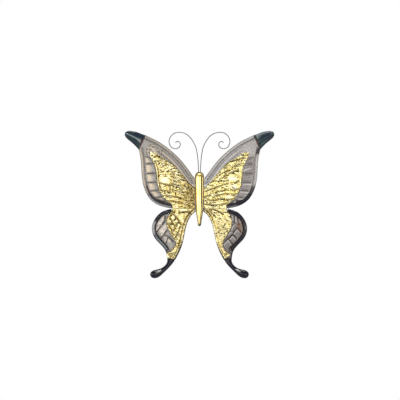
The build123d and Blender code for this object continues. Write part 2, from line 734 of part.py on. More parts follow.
# Clip spring: a coil round the pin, from a leg on the base to a leg on the lever
first_angle = leg_angle(BASE_LEG_RISE, -1) + 2 * pi
last_angle = leg_angle(LEVER_LEG_RISE, 1) - 2 * pi * SPRING_FULL_TURNS
coil_turn = first_angle - last_angle
coil_length = SPRING_PITCH * coil_turn / (2 * pi)
quarter_turns = round(coil_turn / (pi / 2))
coil_slope = SPRING_PITCH / (2 * pi)
coil_points = []
coil_directions = []
for step in range(quarter_turns + 1):
    angle = first_angle - coil_turn * step / quarter_turns
    along = coil_length * (step / quarter_turns - 1 / 2)
    coil_points.append(coil_point(angle, along))
    coil_directions.append(
        Vector(coil_slope, SPRING_COIL_RADIUS * sin(angle), -SPRING_COIL_RADIUS * cos(angle)).normalized()
    )
base_seat = Vector(coil_points[0].X, BASE_LEG_RISE, -LEG_END_DROP)
lever_seat = Vector(coil_points[-1].X, LEVER_LEG_RISE, -LEG_END_DROP)


def biarc(start, start_way, end, end_way):
    """Two arcs that leave one point and reach another along given directions."""
    chord = end - start
    ways = start_way + end_way
    bend = 2 * (1 - start_way.dot(end_way))
    reach = (sqrt(chord.dot(ways) ** 2 + bend * chord.dot(chord)) - chord.dot(ways)) / bend
    middle = (start + end + (start_way - end_way) * reach) * 0.5
    middle_way = (middle - start - start_way * reach).normalized()
    return (
        Edge.make_tangent_arc(start, start_way, middle),
        Edge.make_tangent_arc(middle, middle_way, end),
    )


coil_edges = [Edge.make_line(base_seat, coil_points[0])]
coil_directions[0] = (coil_points[0] - base_seat).normalized()
coil_directions[-1] = (lever_seat - coil_points[-1]).normalized()
for step in range(quarter_turns):
    coil_edges += biarc(
        coil_points[step], coil_directions[step], coil_points[step + 1], coil_directions[step + 1]
    )
coil_edges.append(Edge.make_line(coil_points[-1], lever_seat))
coil_wire = Wire(coil_edges)
with BuildPart() as clip_spring:
    with BuildSketch(Plane(origin=base_seat, z_dir=coil_edges[0] % 0)) as section:
        Circle(SPRING_WIRE_RADIUS)
    sweep(section.sketch, path=coil_wire)

# Each point of the coil against the next turn, less the wire's own thickness
coil_samples = [coil_wire @ (step / COIL_SAMPLES) for step in range(COIL_SAMPLES + 1)]
samples_apart = round(COIL_SAMPLES * pi * SPRING_COIL_RADIUS / coil_wire.length)
turn_gap = min(
    (later - earlier).length - 2 * SPRING_WIRE_RADIUS
    for index, earlier in enumerate(coil_samples)
    for later in coil_samples[index + samples_apart :]
)
print("least gap between the spring's turns", round(turn_gap, 3), "wanted over", LEAST_TURN_GAP)

MIRRORED = {
    "antenna": antenna,
    "forewing_pane": forewing_pane,
    "forewing_edging": forewing_edging,
    "forewing_tip": forewing_tip,
    "forewing_gilding": forewing_gilding,
    "hindwing_pane": hindwing_pane,
    "hindwing_rim": hindwing_rim,
    "hindwing_tail": hindwing_tail,
    "hindwing_gilding": hindwing_gilding,
}
SINGLE = {
    "body_front": body_front,
    "body_back": body_back,
    "clip_base": clip_base,
    "clip_lever": clip_lever,
    "clip_pin": clip_pin,
    "clip_screws": clip_screws,
    "clip_spring": clip_spring,
}
os.makedirs("parts", exist_ok=True)
for name, piece in SINGLE.items():
    piece.part.label = name
    export_step(piece.part, f"parts/{name}.step")
for name, piece in MIRRORED.items():
    piece.part.label = f"right_{name}"
    export_step(piece.part, f"parts/right_{name}.step")
    with BuildPart() as left_piece:
        mirror(piece.part, about=Plane.YZ)
    left_piece.part.label = f"left_{name}"
    export_step(left_piece.part, f"parts/left_{name}.step")
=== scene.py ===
# %% [markdown]
# A clip-on butterfly ornament: smoke-clear moulded wings, crinkled gold fields, dark tips and tails, a
# polished gold body and wire antennae. The solids come from the CAD model and stay where they are. Blender
# adds what CAD leaves plain: the soft relief of the moulded panes, the crumpled foil and the finishes.

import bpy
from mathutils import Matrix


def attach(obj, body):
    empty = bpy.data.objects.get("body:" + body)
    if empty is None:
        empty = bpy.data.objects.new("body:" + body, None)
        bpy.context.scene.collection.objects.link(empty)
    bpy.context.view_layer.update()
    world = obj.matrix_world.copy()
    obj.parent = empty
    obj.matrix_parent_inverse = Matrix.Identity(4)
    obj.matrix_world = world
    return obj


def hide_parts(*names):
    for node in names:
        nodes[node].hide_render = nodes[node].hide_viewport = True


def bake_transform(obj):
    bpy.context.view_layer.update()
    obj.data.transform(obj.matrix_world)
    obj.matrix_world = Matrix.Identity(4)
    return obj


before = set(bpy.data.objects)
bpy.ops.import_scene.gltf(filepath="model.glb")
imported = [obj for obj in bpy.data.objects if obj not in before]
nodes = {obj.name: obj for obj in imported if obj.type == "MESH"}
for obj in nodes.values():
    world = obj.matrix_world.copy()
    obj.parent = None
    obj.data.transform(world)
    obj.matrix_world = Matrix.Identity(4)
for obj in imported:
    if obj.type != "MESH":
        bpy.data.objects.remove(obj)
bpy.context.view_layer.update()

# %% [markdown]
# The wings are drawn flat, as on paper, and then set in place. Each wing has its own sheet of paper: u runs
# out from the body, v runs up, and w is the height above the sheet. Both sheets are swept forward a little,
# and the hindwing's sheet lies behind the forewing's. Working in millimetres on the sheet keeps the numbers
# readable, and one function turns them into metres in the scene.

# %% The sheets that the wings are drawn on
import math
import numpy as np
import bpy
from mathutils import Vector

MILLIMETRE = 0.001
LIFT = math.radians(8.0)
BODY_AXIS_DEPTH = 8.65
PANE_HALF = 1.0
HIND_SETBACK = 2 * PANE_HALF
JOINT_DROP = 26.4
SIDES = {"left": -1, "right": 1}


def place_on_sheet(flat, height, side, setback=0.0):
    """Scene points, in metres, for points on a wing's sheet and their heights above it."""
    rise = height - setback
    x = flat[:, 0] * math.cos(LIFT) - rise * math.sin(LIFT)
    y = -BODY_AXIS_DEPTH - flat[:, 0] * math.sin(LIFT) - rise * math.cos(LIFT)
    return np.column_stack((SIDES[side] * x, y, flat[:, 1])) * MILLIMETRE


print("a point 70 mm out:", place_on_sheet(np.array([[70.0, 40.0]]), np.array([0.0]), "right").round(4))

# %% [markdown]
# A wing's edge is a smooth curve through a few points. Bezier handles would work too, but a natural cubic
# spline needs no handles, runs through every point and bends as little as it can, as a draughtsman's thin
# lath does between its pins.

# %% Smooth curves through a few points


def lath(points, step=0.5):
    """Points about a step apart on the smooth curve through the given ones."""
    points = np.array(points, float)
    spans = np.linalg.norm(np.diff(points, axis=0), axis=1)
    at = np.concatenate(([0.0], np.cumsum(spans)))
    count = len(points)
    system = np.eye(count)
    pull = np.zeros_like(points)
    for i in range(1, count - 1):
        system[i, i - 1 : i + 2] = spans[i - 1], 2 * (spans[i - 1] + spans[i]), spans[i]
        slopes = np.diff(points[i - 1 : i + 2], axis=0) / spans[i - 1 : i + 1, None]
        pull[i] = 6 * (slopes[1] - slopes[0])
    bend = np.linalg.solve(system, pull)
    places = np.linspace(0, at[-1], max(2, int(round(at[-1] / step)) + 1))
    i = np.clip(np.searchsorted(at, places, side="right") - 1, 0, count - 2)
    before, after, span = (places - at[i])[:, None], (at[i + 1] - places)[:, None], spans[i][:, None]
    return (
        (bend[i] * after**3 + bend[i + 1] * before**3) / (6 * span)
        + (points[i] / span - bend[i] * span / 6) * after
        + (points[i + 1] / span - bend[i + 1] * span / 6) * before
    )


def to_right(way):
    """Unit steps to the right of some directions."""
    way = way / np.linalg.norm(way, axis=1)[:, None]
    return np.column_stack((way[:, 1], -way[:, 0]))


def inset(line, distance):
    """The line moved to its right by a distance."""
    return line + to_right(np.gradient(line, axis=0)) * distance


print("a lath over three pins has", len(lath([(0, 0), (5, 2), (10, 0)])), "points")

# %% [markdown]
# The outlines. Each pair is a share of the wing's reach and of its height, counted from the body's axis and
# from the line where forewing and hindwing meet, so the same few numbers draw both sides of the ornament.

# %% Outlines of the forewing
FOREWING_REACH, FOREWING_HEIGHT = 75.2, 77.6
BEAD_WIDTH = 3.6
ROOT_GAP = 0.5
BODY_SIDE = 4.65
EDGING_FROM = 0.62
GOLD_LAP = 0.05


def fore(shares):
    return np.array(shares) * (FOREWING_REACH, FOREWING_HEIGHT) - (0, JOINT_DROP)


leading = lath(fore([(0.065, 0.386), (0.090, 0.420), (0.248, 0.621), (0.396, 0.755), (0.544, 0.856),
                     (0.725, 0.941)]))
margin = lath(fore([(0.813, 0.755), (0.787, 0.624), (0.773, 0.418), (0.732, 0.237), (0.651, 0.108),
                    (0.523, 0.032), (0.376, 0.0)]))
edging_start = int(EDGING_FROM * len(margin))
edging_outer = margin[edging_start:]
edging_inner = inset(edging_outer, BEAD_WIDTH)
fore_root = np.array([(ROOT_GAP, -JOINT_DROP), (ROOT_GAP, leading[0, 1])])
fore_pane_outline = np.vstack((leading, margin[: edging_start + 1], edging_inner, margin[-1:], fore_root))
gold_upper = lath(np.vstack(([(BODY_SIDE, 0.252 * FOREWING_HEIGHT - JOINT_DROP)], fore(
    [(0.188, 0.387), (0.302, 0.513), (0.409, 0.603), (0.510, 0.662), (0.597, 0.711), (0.660, 0.719)]))))
gold_outer = lath(fore([(0.660, 0.719), (0.660, 0.675), (0.631, 0.617), (0.604, 0.562), (0.580, 0.482),
                        (0.569, 0.353), (0.550, 0.263), (0.517, 0.186), (0.470, 0.124), (0.365, 0.044)]))
gold_foot = np.array([(u, -JOINT_DROP - GOLD_LAP) for u in (gold_outer[-1, 0], BODY_SIDE)])
fore_gold = np.vstack((gold_upper, gold_outer[1:], gold_foot))
print("forewing outline:", len(fore_pane_outline), "points, gold:", len(fore_gold))

# %% [markdown]
# The hindwing is drawn downwards from the same line, and its upper part laps behind the forewing. Its gold
# ends differently on the two sides, so the gold's outer edge has a shared stretch and an end for each side.
# By the tail the gold draws back from the inner edge.

# %% Outlines of the hindwing
HINDWING_REACH, HINDWING_DROP = 48.0, 70.2
LAP_TOP = 12.4 - JOINT_DROP
RIM_TO = 0.87
GOLD_CLEAR, GOLD_DRAWN_BACK = 0.3, 0.7
DRAW_BACK_TOP, DRAW_BACK_SPAN = -60.0, 8.0


def hind(shares):
    return np.array(shares) * (HINDWING_REACH, -HINDWING_DROP) - (0, JOINT_DROP)


hind_margin = lath(hind([(0.589, 0.006), (0.789, 0.051), (0.933, 0.151), (0.994, 0.272), (0.947, 0.407),
                         (0.811, 0.516), (0.703, 0.615), (0.672, 0.718)]))
hind_inner = lath(hind([(0.509, 0.732), (0.413, 0.607), (0.341, 0.464), (0.295, 0.308), (0.223, 0.160),
                        (0.143, 0.080), (0.080, 0.047)]))
rim_end = int(RIM_TO * len(hind_margin))
rim_outer = hind_margin[: rim_end + 1]
rim_inner = inset(rim_outer, BEAD_WIDTH)
hind_root = np.array([(ROOT_GAP, hind_inner[-1, 1]), (ROOT_GAP, LAP_TOP)])
hind_lap = hind([(0.379, -0.160), (0.547, -0.004)])
hind_pane_outline = np.vstack((rim_inner, hind_margin[rim_end:], hind_inner, hind_root, hind_lap))
hind_gold_outer = {
    side: lath(hind([(0.565, 0.012), (0.621, 0.066), (0.669, 0.130), (0.682, 0.194), (0.661, 0.279),
                     (0.594, 0.370), (0.526, 0.439), (0.495, 0.493), *end]))
    for side, end in {
        "left": [(0.532, 0.545), (0.600, 0.595), (0.655, 0.628), (0.685, 0.650)],
        "right": [(0.503, 0.553), (0.564, 0.610), (0.655, 0.668)],
    }.items()
}
drawn_back = np.clip((DRAW_BACK_TOP - hind_inner[:, 1:]) / DRAW_BACK_SPAN, 0, 1)
hind_gold_inner = inset(hind_inner, GOLD_CLEAR + GOLD_DRAWN_BACK * drawn_back)
hind_gold_inner = hind_gold_inner[hind_gold_inner[:, 0] > BODY_SIDE]
hind_gold_top = np.array([(u, GOLD_CLEAR - JOINT_DROP)
                          for u in (hind_gold_inner[-1, 0] + 1.5, hind_gold_outer["left"][0, 0])])
hind_gold = {
    "left": np.vstack((hind_gold_outer["left"], hind([(0.668, 0.708)]), hind_gold_inner, hind_gold_top)),
    "right": np.vstack((hind_gold_outer["right"], hind_gold_inner, hind_gold_top)),
}
print("hindwing outline:", len(hind_pane_outline), "points, gold:", len(hind_gold["left"]))

# %% [markdown]
# Moulded relief and dye both depend on how far a point is from an edge, a groove or a spot. A few small
# measuring tools do that for all points of a mesh at once.

# %% Measuring on the sheet


def distance_to(points, *lines):
    """Each point's distance to the nearest of some open lines."""
    nearest = np.full(len(points), np.inf)
    for line in lines:
        line = np.asarray(line, float)
        for start, end in zip(line[:-1], line[1:]):
            way = end - start
            share = np.clip((points - start) @ way / max(way @ way, 1e-12), 0, 1)
            nearest = np.minimum(nearest, np.linalg.norm(points - start - share[:, None] * way, axis=1))
    return nearest


def inside(points, outline):
    """Which points lie inside a closed outline."""
    crossings = np.zeros(len(points), int)
    for start, end in zip(outline, np.roll(outline, -1, axis=0)):
        spans = (start[1] > points[:, 1]) != (end[1] > points[:, 1])
        lean = (end[0] - start[0]) / (end[1] - start[1]) if end[1] != start[1] else 0.0
        crossings += spans & (points[:, 0] < start[0] + (points[:, 1] - start[1]) * lean)
    return crossings % 2 == 1


def ease(low, high, value):
    """0 below low, 1 above high and a soft slope between. With low above high it falls instead."""
    share = np.clip((value - low) / (high - low), 0, 1)
    return share * share * (3 - 2 * share)


def peak(value, width):
    """1 where a value is 0, and next to nothing from two widths on."""
    return np.exp(-((value / width) ** 2))


def spot(points, middle, reach):
    """The same round a point of the sheet."""
    return np.exp(-(((points - middle) / reach) ** 2).sum(1))


def quarter_round(share):
    """A quarter circle that climbs steeply from 0 and is level at 1."""
    return np.sqrt(np.clip(1 - (1 - np.clip(share, 0, 1)) ** 2, 0, 1))


print("the notch is", distance_to(fore([(0.376, 0.1)]), margin).round(2), "mm from a point above it")

# %% [markdown]
# One maker for every flat moulded piece. It fills an outline with small triangles, lifts the front and the
# back to their own heights and joins them at the edge. A grid with a subdivision modifier would leave steps
# along a curved outline, so the triangles come from a constrained Delaunay fill, which keeps the outline
# exact. Along a bead the points stand in rows, so that the round stays smooth.

# %% The maker of moulded sheets
from mathutils.geometry import delaunay_2d_cdt

BEAD_ROWS = (0.15, 0.4, 0.8, 1.3, 1.8, 2.3, 2.8, 3.3, 3.7, 4.2, 4.8)


def fill_outline(outline, spacing, beads=()):
    """Points and triangles that fill an outline, in even rows along the edges that carry a bead."""
    low, high = outline.min(0), outline.max(0)
    rows = np.arange(low[1], high[1], spacing * math.sqrt(3) / 2)
    columns = np.arange(low[0], high[0], spacing)
    grid = np.array([(c + spacing / 2 * (r % 2), row) for r, row in enumerate(rows) for c in columns])
    grid = grid[inside(grid, outline)]
    closed = np.vstack((outline, outline[:1]))
    grid = grid[distance_to(grid, closed) > spacing * 0.55]
    for line in beads:
        grid = grid[distance_to(grid, line) > BEAD_ROWS[-1] + spacing / 2]
    for line in beads:
        for row in BEAD_ROWS:
            strip = inset(line, row)
            strip = strip[inside(strip, outline)]
            strip = strip[distance_to(strip, closed) > 0.1]
            strip = strip[distance_to(strip, *beads) > row - 0.05]
            grid = np.vstack((grid, strip))
    points = np.vstack((outline, grid))
    rim = [(i, (i + 1) % len(outline)) for i in range(len(outline))]
    made = delaunay_2d_cdt([Vector(p) for p in points], rim, [], 0, 1e-6, False)
    flat = np.array([tuple(p) for p in made[0]])
    triangles = np.array([tuple(f) for f in made[2]])
    return flat, triangles[inside(flat[triangles].mean(1), outline)]


def new_piece(name, points, faces, masks):
    """A smooth mesh object with masks painted on its points."""
    mesh = bpy.data.meshes.new(name)
    mesh.from_pydata(points.tolist(), [], faces)
    for mask, values in masks.items():
        layer = mesh.attributes.new(mask, "FLOAT", "POINT")
        layer.data.foreach_set("value", values.astype(np.float32))
    mesh.polygons.foreach_set("use_smooth", np.ones(len(faces), bool))
    piece = bpy.data.objects.new(name, mesh)
    bpy.context.scene.collection.objects.link(piece)
    return piece


def moulded_sheet(side, name, filled, front, back, masks, setback=0.0):
    """A closed piece from filled points, with its front and back heights and its painted masks."""
    flat, triangles = filled
    count = len(flat)
    points = np.vstack([place_on_sheet(flat, height, side, setback) for height in (front, back)])
    edges = np.vstack((triangles[:, [0, 1]], triangles[:, [1, 2]], triangles[:, [2, 0]]))
    known = {tuple(e) for e in edges.tolist()}
    rim = [(a, b) for a, b in known if (b, a) not in known]
    faces = triangles.tolist() + (triangles[:, ::-1] + count).tolist()
    faces += [(b, a, a + count, b + count) for a, b in sorted(rim)]
    if side == "left":
        faces = [tuple(reversed(f)) for f in faces]
    masks = {mask: np.tile(values, 2) for mask, values in masks.items()}
    return new_piece(f"{side}_{name}", points, faces, masks)


square = np.array([(0, 0), (4, 0), (4, 4), (0, 4)], float)
print("a 4 mm square fills with", len(fill_outline(square, 1)[1]), "triangles")

# %% [markdown]
# Finishes. Four effects turn up on more than one piece, so each is a node group with named sockets: light
# handling marks, a soft moulding wave, a clouded tint and a foil's crinkle. A group hands out only values,
# colours and normals, and each material keeps its own Principled shader.

# %% Helpers for node trees
NUMBER, COLOUR, ARROW = "NodeSocketFloat", "NodeSocketColor", "NodeSocketVector"


def feed(tree, node, values):
    """The node, with its inputs set to values or linked to other nodes' outputs."""
    for label, value in values.items():
        if isinstance(value, bpy.types.NodeSocket):
            tree.links.new(value, node.inputs[label])
        else:
            node.inputs[label].default_value = value
    return node


def add(tree, kind, values=None, **settings):
    """A new node with its settings and its inputs."""
    node = tree.nodes.new(kind)
    for key, value in settings.items():
        setattr(node, key, value)
    return feed(tree, node, values or {})


def object_place(tree):
    return add(tree, "ShaderNodeTexCoord").outputs["Object"]


def noise(tree, place, scale, detail):
    return add(tree, "ShaderNodeTexNoise", {"Vector": place, "Scale": scale, "Detail": detail}).outputs


def remap(tree, value, low, high, to_low=0.0, to_high=1.0):
    """A value moved from one range into another, and kept inside it."""
    ranges = {"From Min": low, "From Max": high, "To Min": to_low, "To Max": to_high}
    return add(tree, "ShaderNodeMapRange", {"Value": value, **ranges}).outputs[0]


def calculate(tree, operation, first, second):
    return add(tree, "ShaderNodeMath", {0: first, 1: second}, operation=operation).outputs[0]


def mix_colours(tree, share, first, second):
    """The colour output of a Mix node between two colours."""
    return add(tree, "ShaderNodeMix", {0: share, 6: first, 7: second}, data_type="RGBA").outputs[2]


def new_group(name, inputs, outputs):
    """A node group with named sockets, what it is given, and the node that hands out its results."""
    tree = bpy.data.node_groups.new(name, "ShaderNodeTree")
    for label, value in inputs.items():
        kind = COLOUR if isinstance(value, tuple) else NUMBER
        tree.interface.new_socket(label, in_out="INPUT", socket_type=kind).default_value = value
    for label, kind in outputs.items():
        tree.interface.new_socket(label, in_out="OUTPUT", socket_type=kind)
    return tree, tree.nodes.new("NodeGroupInput").outputs, tree.nodes.new("NodeGroupOutput")


print("node helpers are ready")

# %% [markdown]
# Handling marks: any glossy thing that has been packed and hung carries faint smudges and hair scratches.
# Smudges are broad noise, scratches are noise stretched along one direction. Both only change how rough the
# surface is, which is what the eye sees on a real one.

# %% The handling marks group
marks, given, handed = new_group(
    "handling_marks", {"Scale": 200.0, "Least Roughness": 0.05, "Most Roughness": 0.2}, {"Roughness": NUMBER}
)
place = object_place(marks)
smudge = noise(marks, place, given["Scale"], 4.0)[0]
drawn_out = {"Rotation": (0.3, 0.5, 0.9), "Scale": (6.0, 0.4, 3.0)}
hairs = add(marks, "ShaderNodeMapping", {"Vector": place, **drawn_out}).outputs[0]
scratch = noise(marks, hairs, given["Scale"], 6.0)[0]
both = calculate(marks, "MAXIMUM", smudge, remap(marks, scratch, 0.58, 0.72))
rough = remap(marks, both, 0.35, 0.95, given["Least Roughness"], given["Most Roughness"])
feed(marks, handed, {"Roughness": rough})
print("group:", marks.name, len(marks.nodes), "nodes")

# %% [markdown]
# Moulding wave: moulded plastic and cast metal are never quite flat. A slow noise under a Bump node makes
# reflections swim a little, as they do on the real wings.

# %% The moulding wave group
wave, given, handed = new_group("moulding_wave", {"Scale": 150.0, "Strength": 0.1}, {"Normal": ARROW})
swell = noise(wave, object_place(wave), given["Scale"], 2.0)[0]
raised = add(wave, "ShaderNodeBump", {"Height": swell, "Strength": given["Strength"], "Distance": 0.001})
feed(wave, handed, {"Normal": raised.outputs[0]})
print("group:", wave.name, len(wave.nodes), "nodes")

# %% [markdown]
# Clouded tint: a dye or a lacquer is never one colour all over. Two colours are mixed by a slow noise, and a
# mask pulls the mix towards a third: a stain, and on some pieces painted shade.

# %% The clouded tint group
tint, given, handed = new_group(
    "clouded_tint",
    {"Pale": (1, 1, 1, 1), "Deep": (0.5, 0.5, 0.5, 1), "Dark Colour": (0, 0, 0, 1), "Dark Mask": 0.0,
     "Scale": 100.0},
    {"Color": COLOUR},
)
cloud = noise(tint, object_place(tint), given["Scale"], 3.0)[0]
dye = mix_colours(tint, remap(tint, cloud, 0.35, 0.65), given["Pale"], given["Deep"])
feed(tint, handed, {"Color": mix_colours(tint, given["Dark Mask"], dye, given["Dark Colour"])})
print("group:", tint.name, len(tint.nodes), "nodes")

# %% [markdown]
# Crinkle: thin metal foil pressed on a rough ground breaks into small facets. Cells of a Voronoi texture
# give the facets, and their edges give the sharp creases. It sits on top of the crumpled mesh as its finest
# level.

# %% The foil crinkle group
crinkle, given, handed = new_group(
    "foil_crinkle", {"Scale": 900.0, "Strength": 0.4}, {"Normal": ARROW, "Crease": NUMBER}
)
place = object_place(crinkle)
wander = noise(crinkle, place, 300.0, 2.0)["Color"]
shifted = add(crinkle, "ShaderNodeMixRGB", {0: 0.0015, 1: place, 2: wander}, blend_type="ADD")
strewn = {"Vector": shifted.outputs[0], "Scale": given["Scale"]}
facets = add(crinkle, "ShaderNodeTexVoronoi", strewn).outputs["Distance"]
seams = add(crinkle, "ShaderNodeTexVoronoi", strewn, feature="DISTANCE_TO_EDGE").outputs["Distance"]
raised = add(crinkle, "ShaderNodeBump", {"Height": facets, "Strength": given["Strength"], "Distance": 0.0006})
feed(crinkle, handed, {"Normal": raised.outputs[0], "Crease": remap(crinkle, seams, 0.0, 0.12, 1.0, 0.0)})
print("group:", crinkle.name, len(crinkle.nodes), "nodes")

# %% [markdown]
# Using the groups: each material places them with its own values. Most finishes start from the same
# surface, with handling marks and a moulding wave, and then get their own colour.

# %% Placing groups in materials


def place_group(tree, group, values):
    """The outputs of a group in a material, with its inputs set or linked."""
    return add(tree, "ShaderNodeGroup", values, node_tree=group).outputs


def painted(tree, mask):
    """A mask that was painted on the mesh's points."""
    return add(tree, "ShaderNodeAttribute", attribute_name=mask).outputs["Fac"]


def dyed(tree, pale, deep, stain_and_shade, milk_and_highlight, scale):
    """A clouded tint with a painted stain and painted shade, and painted milky places and painted highlights.
    """
    milky_and_lit = painted(tree, "milk_and_highlight")
    return place_group(tree, tint, {
        "Pale": mix_colours(tree, milky_and_lit, pale, milk_and_highlight), "Deep": mix_colours(tree, milky_and_lit, deep, milk_and_highlight),
        "Dark Colour": stain_and_shade, "Dark Mask": painted(tree, "stain_and_shade"), "Scale": scale,
    })["Color"]


def new_material(name):
    """A material with a bare Principled shader, and its tree."""
    material = bpy.data.materials.new(name)
    material.use_nodes = True
    return material, material.node_tree, material.node_tree.nodes["Principled BSDF"]


def surface(name, constants, gloss, swim=None):
    """A material with its shader's constants, handling marks and, where it swims, a moulding wave."""
    material, tree, shader = new_material(name)
    scale, least, most = gloss
    marked = place_group(tree, marks, {"Scale": scale, "Least Roughness": least, "Most Roughness": most})
    feed(tree, shader, {**constants, "Roughness": marked["Roughness"]})
    if swim:
        waved = place_group(tree, wave, {"Scale": swim[0], "Strength": swim[1]})
        feed(tree, shader, {"Normal": waved["Normal"]})
    return material, tree, shader


print("groups:", [g.name for g in bpy.data.node_groups])

# %% [markdown]
# Smoke-clear acrylic: mostly see-through, a little milky, tinted grey with a warm cast. It bends light as
# acrylic does. The painted masks put painted shade in the grooves between the cells and along the line inside
# the bead, put painted highlights on the crests, and add the red-brown line that runs inside the bead. The
# left wings are browner than the right ones, and their cells carry more painted light.

# %% Smoke acrylic


def smoke_acrylic(name, pale, deep, stain_and_shade, milk_and_highlight, amber):
    constants = {"Transmission Weight": 0.6, "IOR": 1.49, "Specular IOR Level": 0.4}
    material, tree, shader = surface(name, constants, (160.0, 0.06, 0.2), (200.0, 0.08))
    dye = dyed(tree, pale, deep, stain_and_shade, milk_and_highlight, 90.0)
    feed(tree, shader, {"Base Color": mix_colours(tree, painted(tree, "amber"), dye, amber)})
    return material


LEFT_SMOKE = {"pale": (0.435, 0.40, 0.36, 1), "deep": (0.355, 0.335, 0.31, 1),
              "stain_and_shade": (0.04, 0.03, 0.032, 1), "amber": (0.11, 0.045, 0.035, 1)}
smoke = {
    "left": smoke_acrylic("smoke_acrylic_left", milk_and_highlight=(0.91, 0.75, 0.52, 1), **LEFT_SMOKE),
    "right": smoke_acrylic(
        "smoke_acrylic_right", pale=(0.54, 0.505, 0.485, 1), deep=(0.46, 0.43, 0.41, 1),
        stain_and_shade=(0.035, 0.027, 0.027, 1), milk_and_highlight=(0.84, 0.82, 0.78, 1), amber=(0.22, 0.115, 0.06, 1),
    ),
}
smoke_hind = {
    "left": smoke_acrylic("smoke_acrylic_left_hind", milk_and_highlight=(0.92, 0.82, 0.70, 1), **LEFT_SMOKE),
    "right": smoke["right"],
}
print("made", [m.name for m in smoke.values()], smoke_hind["left"].name)

# %% [markdown]
# Gold leaf: bright, thin metal over a rough ground. Creases, grooves and low places get a darker, browner
# tone as painted shade, and the part near the body is darker and browner too. In a few places a painted
# highlight makes the foil nearly white. The right forewing gets a paler copy of the leaf than the other
# fields, as painted light.

# %% Gold leaf
FOIL_HIGHLIGHT = (0.95, 0.88, 0.66, 1)


def gold_leaf(name, pale, deep, dark_brown):
    constants = {"Metallic": 1.0, "Specular Tint": (0.9, 0.75, 0.42, 1)}
    material, tree, shader = surface(name, constants, (500.0, 0.16, 0.38))
    relief = place_group(tree, crinkle, {"Scale": 700.0, "Strength": 0.15})
    shade = calculate(tree, "MAXIMUM", painted(tree, "stain_and_shade"), relief["Crease"])
    # Painted shade: creases and the painted mask pull the leaf towards a dark brown.
    crease_shade = {"Dark Colour": dark_brown, "Dark Mask": calculate(tree, "MULTIPLY", shade, 0.85)}
    colour = place_group(tree, tint, {"Pale": pale, "Deep": deep, **crease_shade, "Scale": 260.0})["Color"]
    # Painted highlight: the foil is mixed towards a near-white gold.
    painted_foil_highlight = mix_colours(tree, painted(tree, "painted_foil_highlight"), colour, FOIL_HIGHLIGHT)
    feed(tree, shader, {"Base Color": painted_foil_highlight, "Normal": relief["Normal"]})
    return material


leaf = gold_leaf("gold_leaf", (0.79, 0.725, 0.445, 1), (0.57, 0.455, 0.16, 1),
                 dark_brown=(0.21, 0.125, 0.012, 1))
# A paler copy of the same leaf for the right forewing, as painted light.
lit_copy_leaf = gold_leaf("lit_gold_leaf", (0.85, 0.785, 0.455, 1), (0.67, 0.55, 0.19, 1),
                      dark_brown=(0.25, 0.16, 0.016, 1))
fore_leaf = {"left": leaf, "right": lit_copy_leaf}
print("made", leaf.name, lit_copy_leaf.name)

# %% [markdown]
# Dark lacquer: the tips are teal to navy, the rims and tails near black with a purple cast. Low roughness
# over a dark ground gives the wet shine of the drops at the ends of the tails.

# %% Dark lacquers


def dark_lacquer(name, pale, deep, stain_and_shade, milk_and_highlight):
    constants = {"IOR": 1.45, "Specular IOR Level": 0.3}
    material, tree, shader = surface(name, constants, (240.0, 0.04, 0.16), (260.0, 0.03))
    feed(tree, shader, {"Base Color": dyed(tree, pale, deep, stain_and_shade, milk_and_highlight, 140.0)})
    return material


# The pale colour of each lacquer is used only for painted highlights on the tips, the tails and the right
# wing's dark bands.
teal = dark_lacquer("teal_lacquer", (0.024, 0.048, 0.048, 1), (0.022, 0.027, 0.045, 1),
                    stain_and_shade=(0.09, 0.03, 0.02, 1), milk_and_highlight=(0.34, 0.38, 0.38, 1))
black = dark_lacquer("black_lacquer", (0.015, 0.014, 0.014, 1), (0.012, 0.011, 0.022, 1),
                     stain_and_shade=(0.03, 0.018, 0.035, 1), milk_and_highlight=(0.80, 0.79, 0.75, 1))
print("made", teal.name, black.name)

# %% [markdown]
# Bare metals: the gold plate of the body's front is polished and that of its back is satin, and the wire
# and the clip are plain steel with the fine lines that drawing and rolling leave.

# %% Bare metals


def bare_metal(name, pale, deep, edge, least, most, swim_strength):
    constants = {"Metallic": 1.0, "Specular Tint": edge}
    material, tree, shader = surface(name, constants, (350.0, least, most), (180.0, swim_strength))
    colour = place_group(tree, tint, {"Pale": pale, "Deep": deep, "Scale": 120.0})["Color"]
    feed(tree, shader, {"Base Color": colour})
    return material


GOLD, DEEP_GOLD, GOLD_EDGE = (0.87, 0.69, 0.29, 1), (0.80, 0.60, 0.21, 1), (0.50, 0.34, 0.08, 1)
WIRE_GREY, WIRE_DARK = (0.17, 0.17, 0.175, 1), (0.13, 0.13, 0.135, 1)
STEEL_GREY, STEEL_DARK = (0.34, 0.34, 0.35, 1), (0.28, 0.28, 0.30, 1)
BACK_GOLD, BACK_DARK = (0.52, 0.40, 0.16, 1), (0.45, 0.34, 0.12, 1)
gold_plate = bare_metal("gold_plate", GOLD, DEEP_GOLD, GOLD_EDGE, 0.06, 0.16, 0.03)
steel_wire = bare_metal("steel_wire", WIRE_GREY, WIRE_DARK, WIRE_GREY, 0.3, 0.5, 0.05)
rolled_steel = bare_metal("rolled_steel", STEEL_GREY, STEEL_DARK, STEEL_GREY, 0.35, 0.55, 0.06)
satin_gold = bare_metal("satin_gold", BACK_GOLD, BACK_DARK, BACK_GOLD, 0.38, 0.5, 0.06)
print("made", gold_plate.name, steel_wire.name, rolled_steel.name, satin_gold.name)

# %% [markdown]
# The head has a duller, satin finish, and its gold is a little deeper as painted shade: its highlight is soft
# in the photograph, while the stripes on the shaft are crisp. Down the shaft the gold deepens slowly, and the
# very end is dark, both painted shade. Height decides all of it, so the changes need no mask on the CAD mesh.

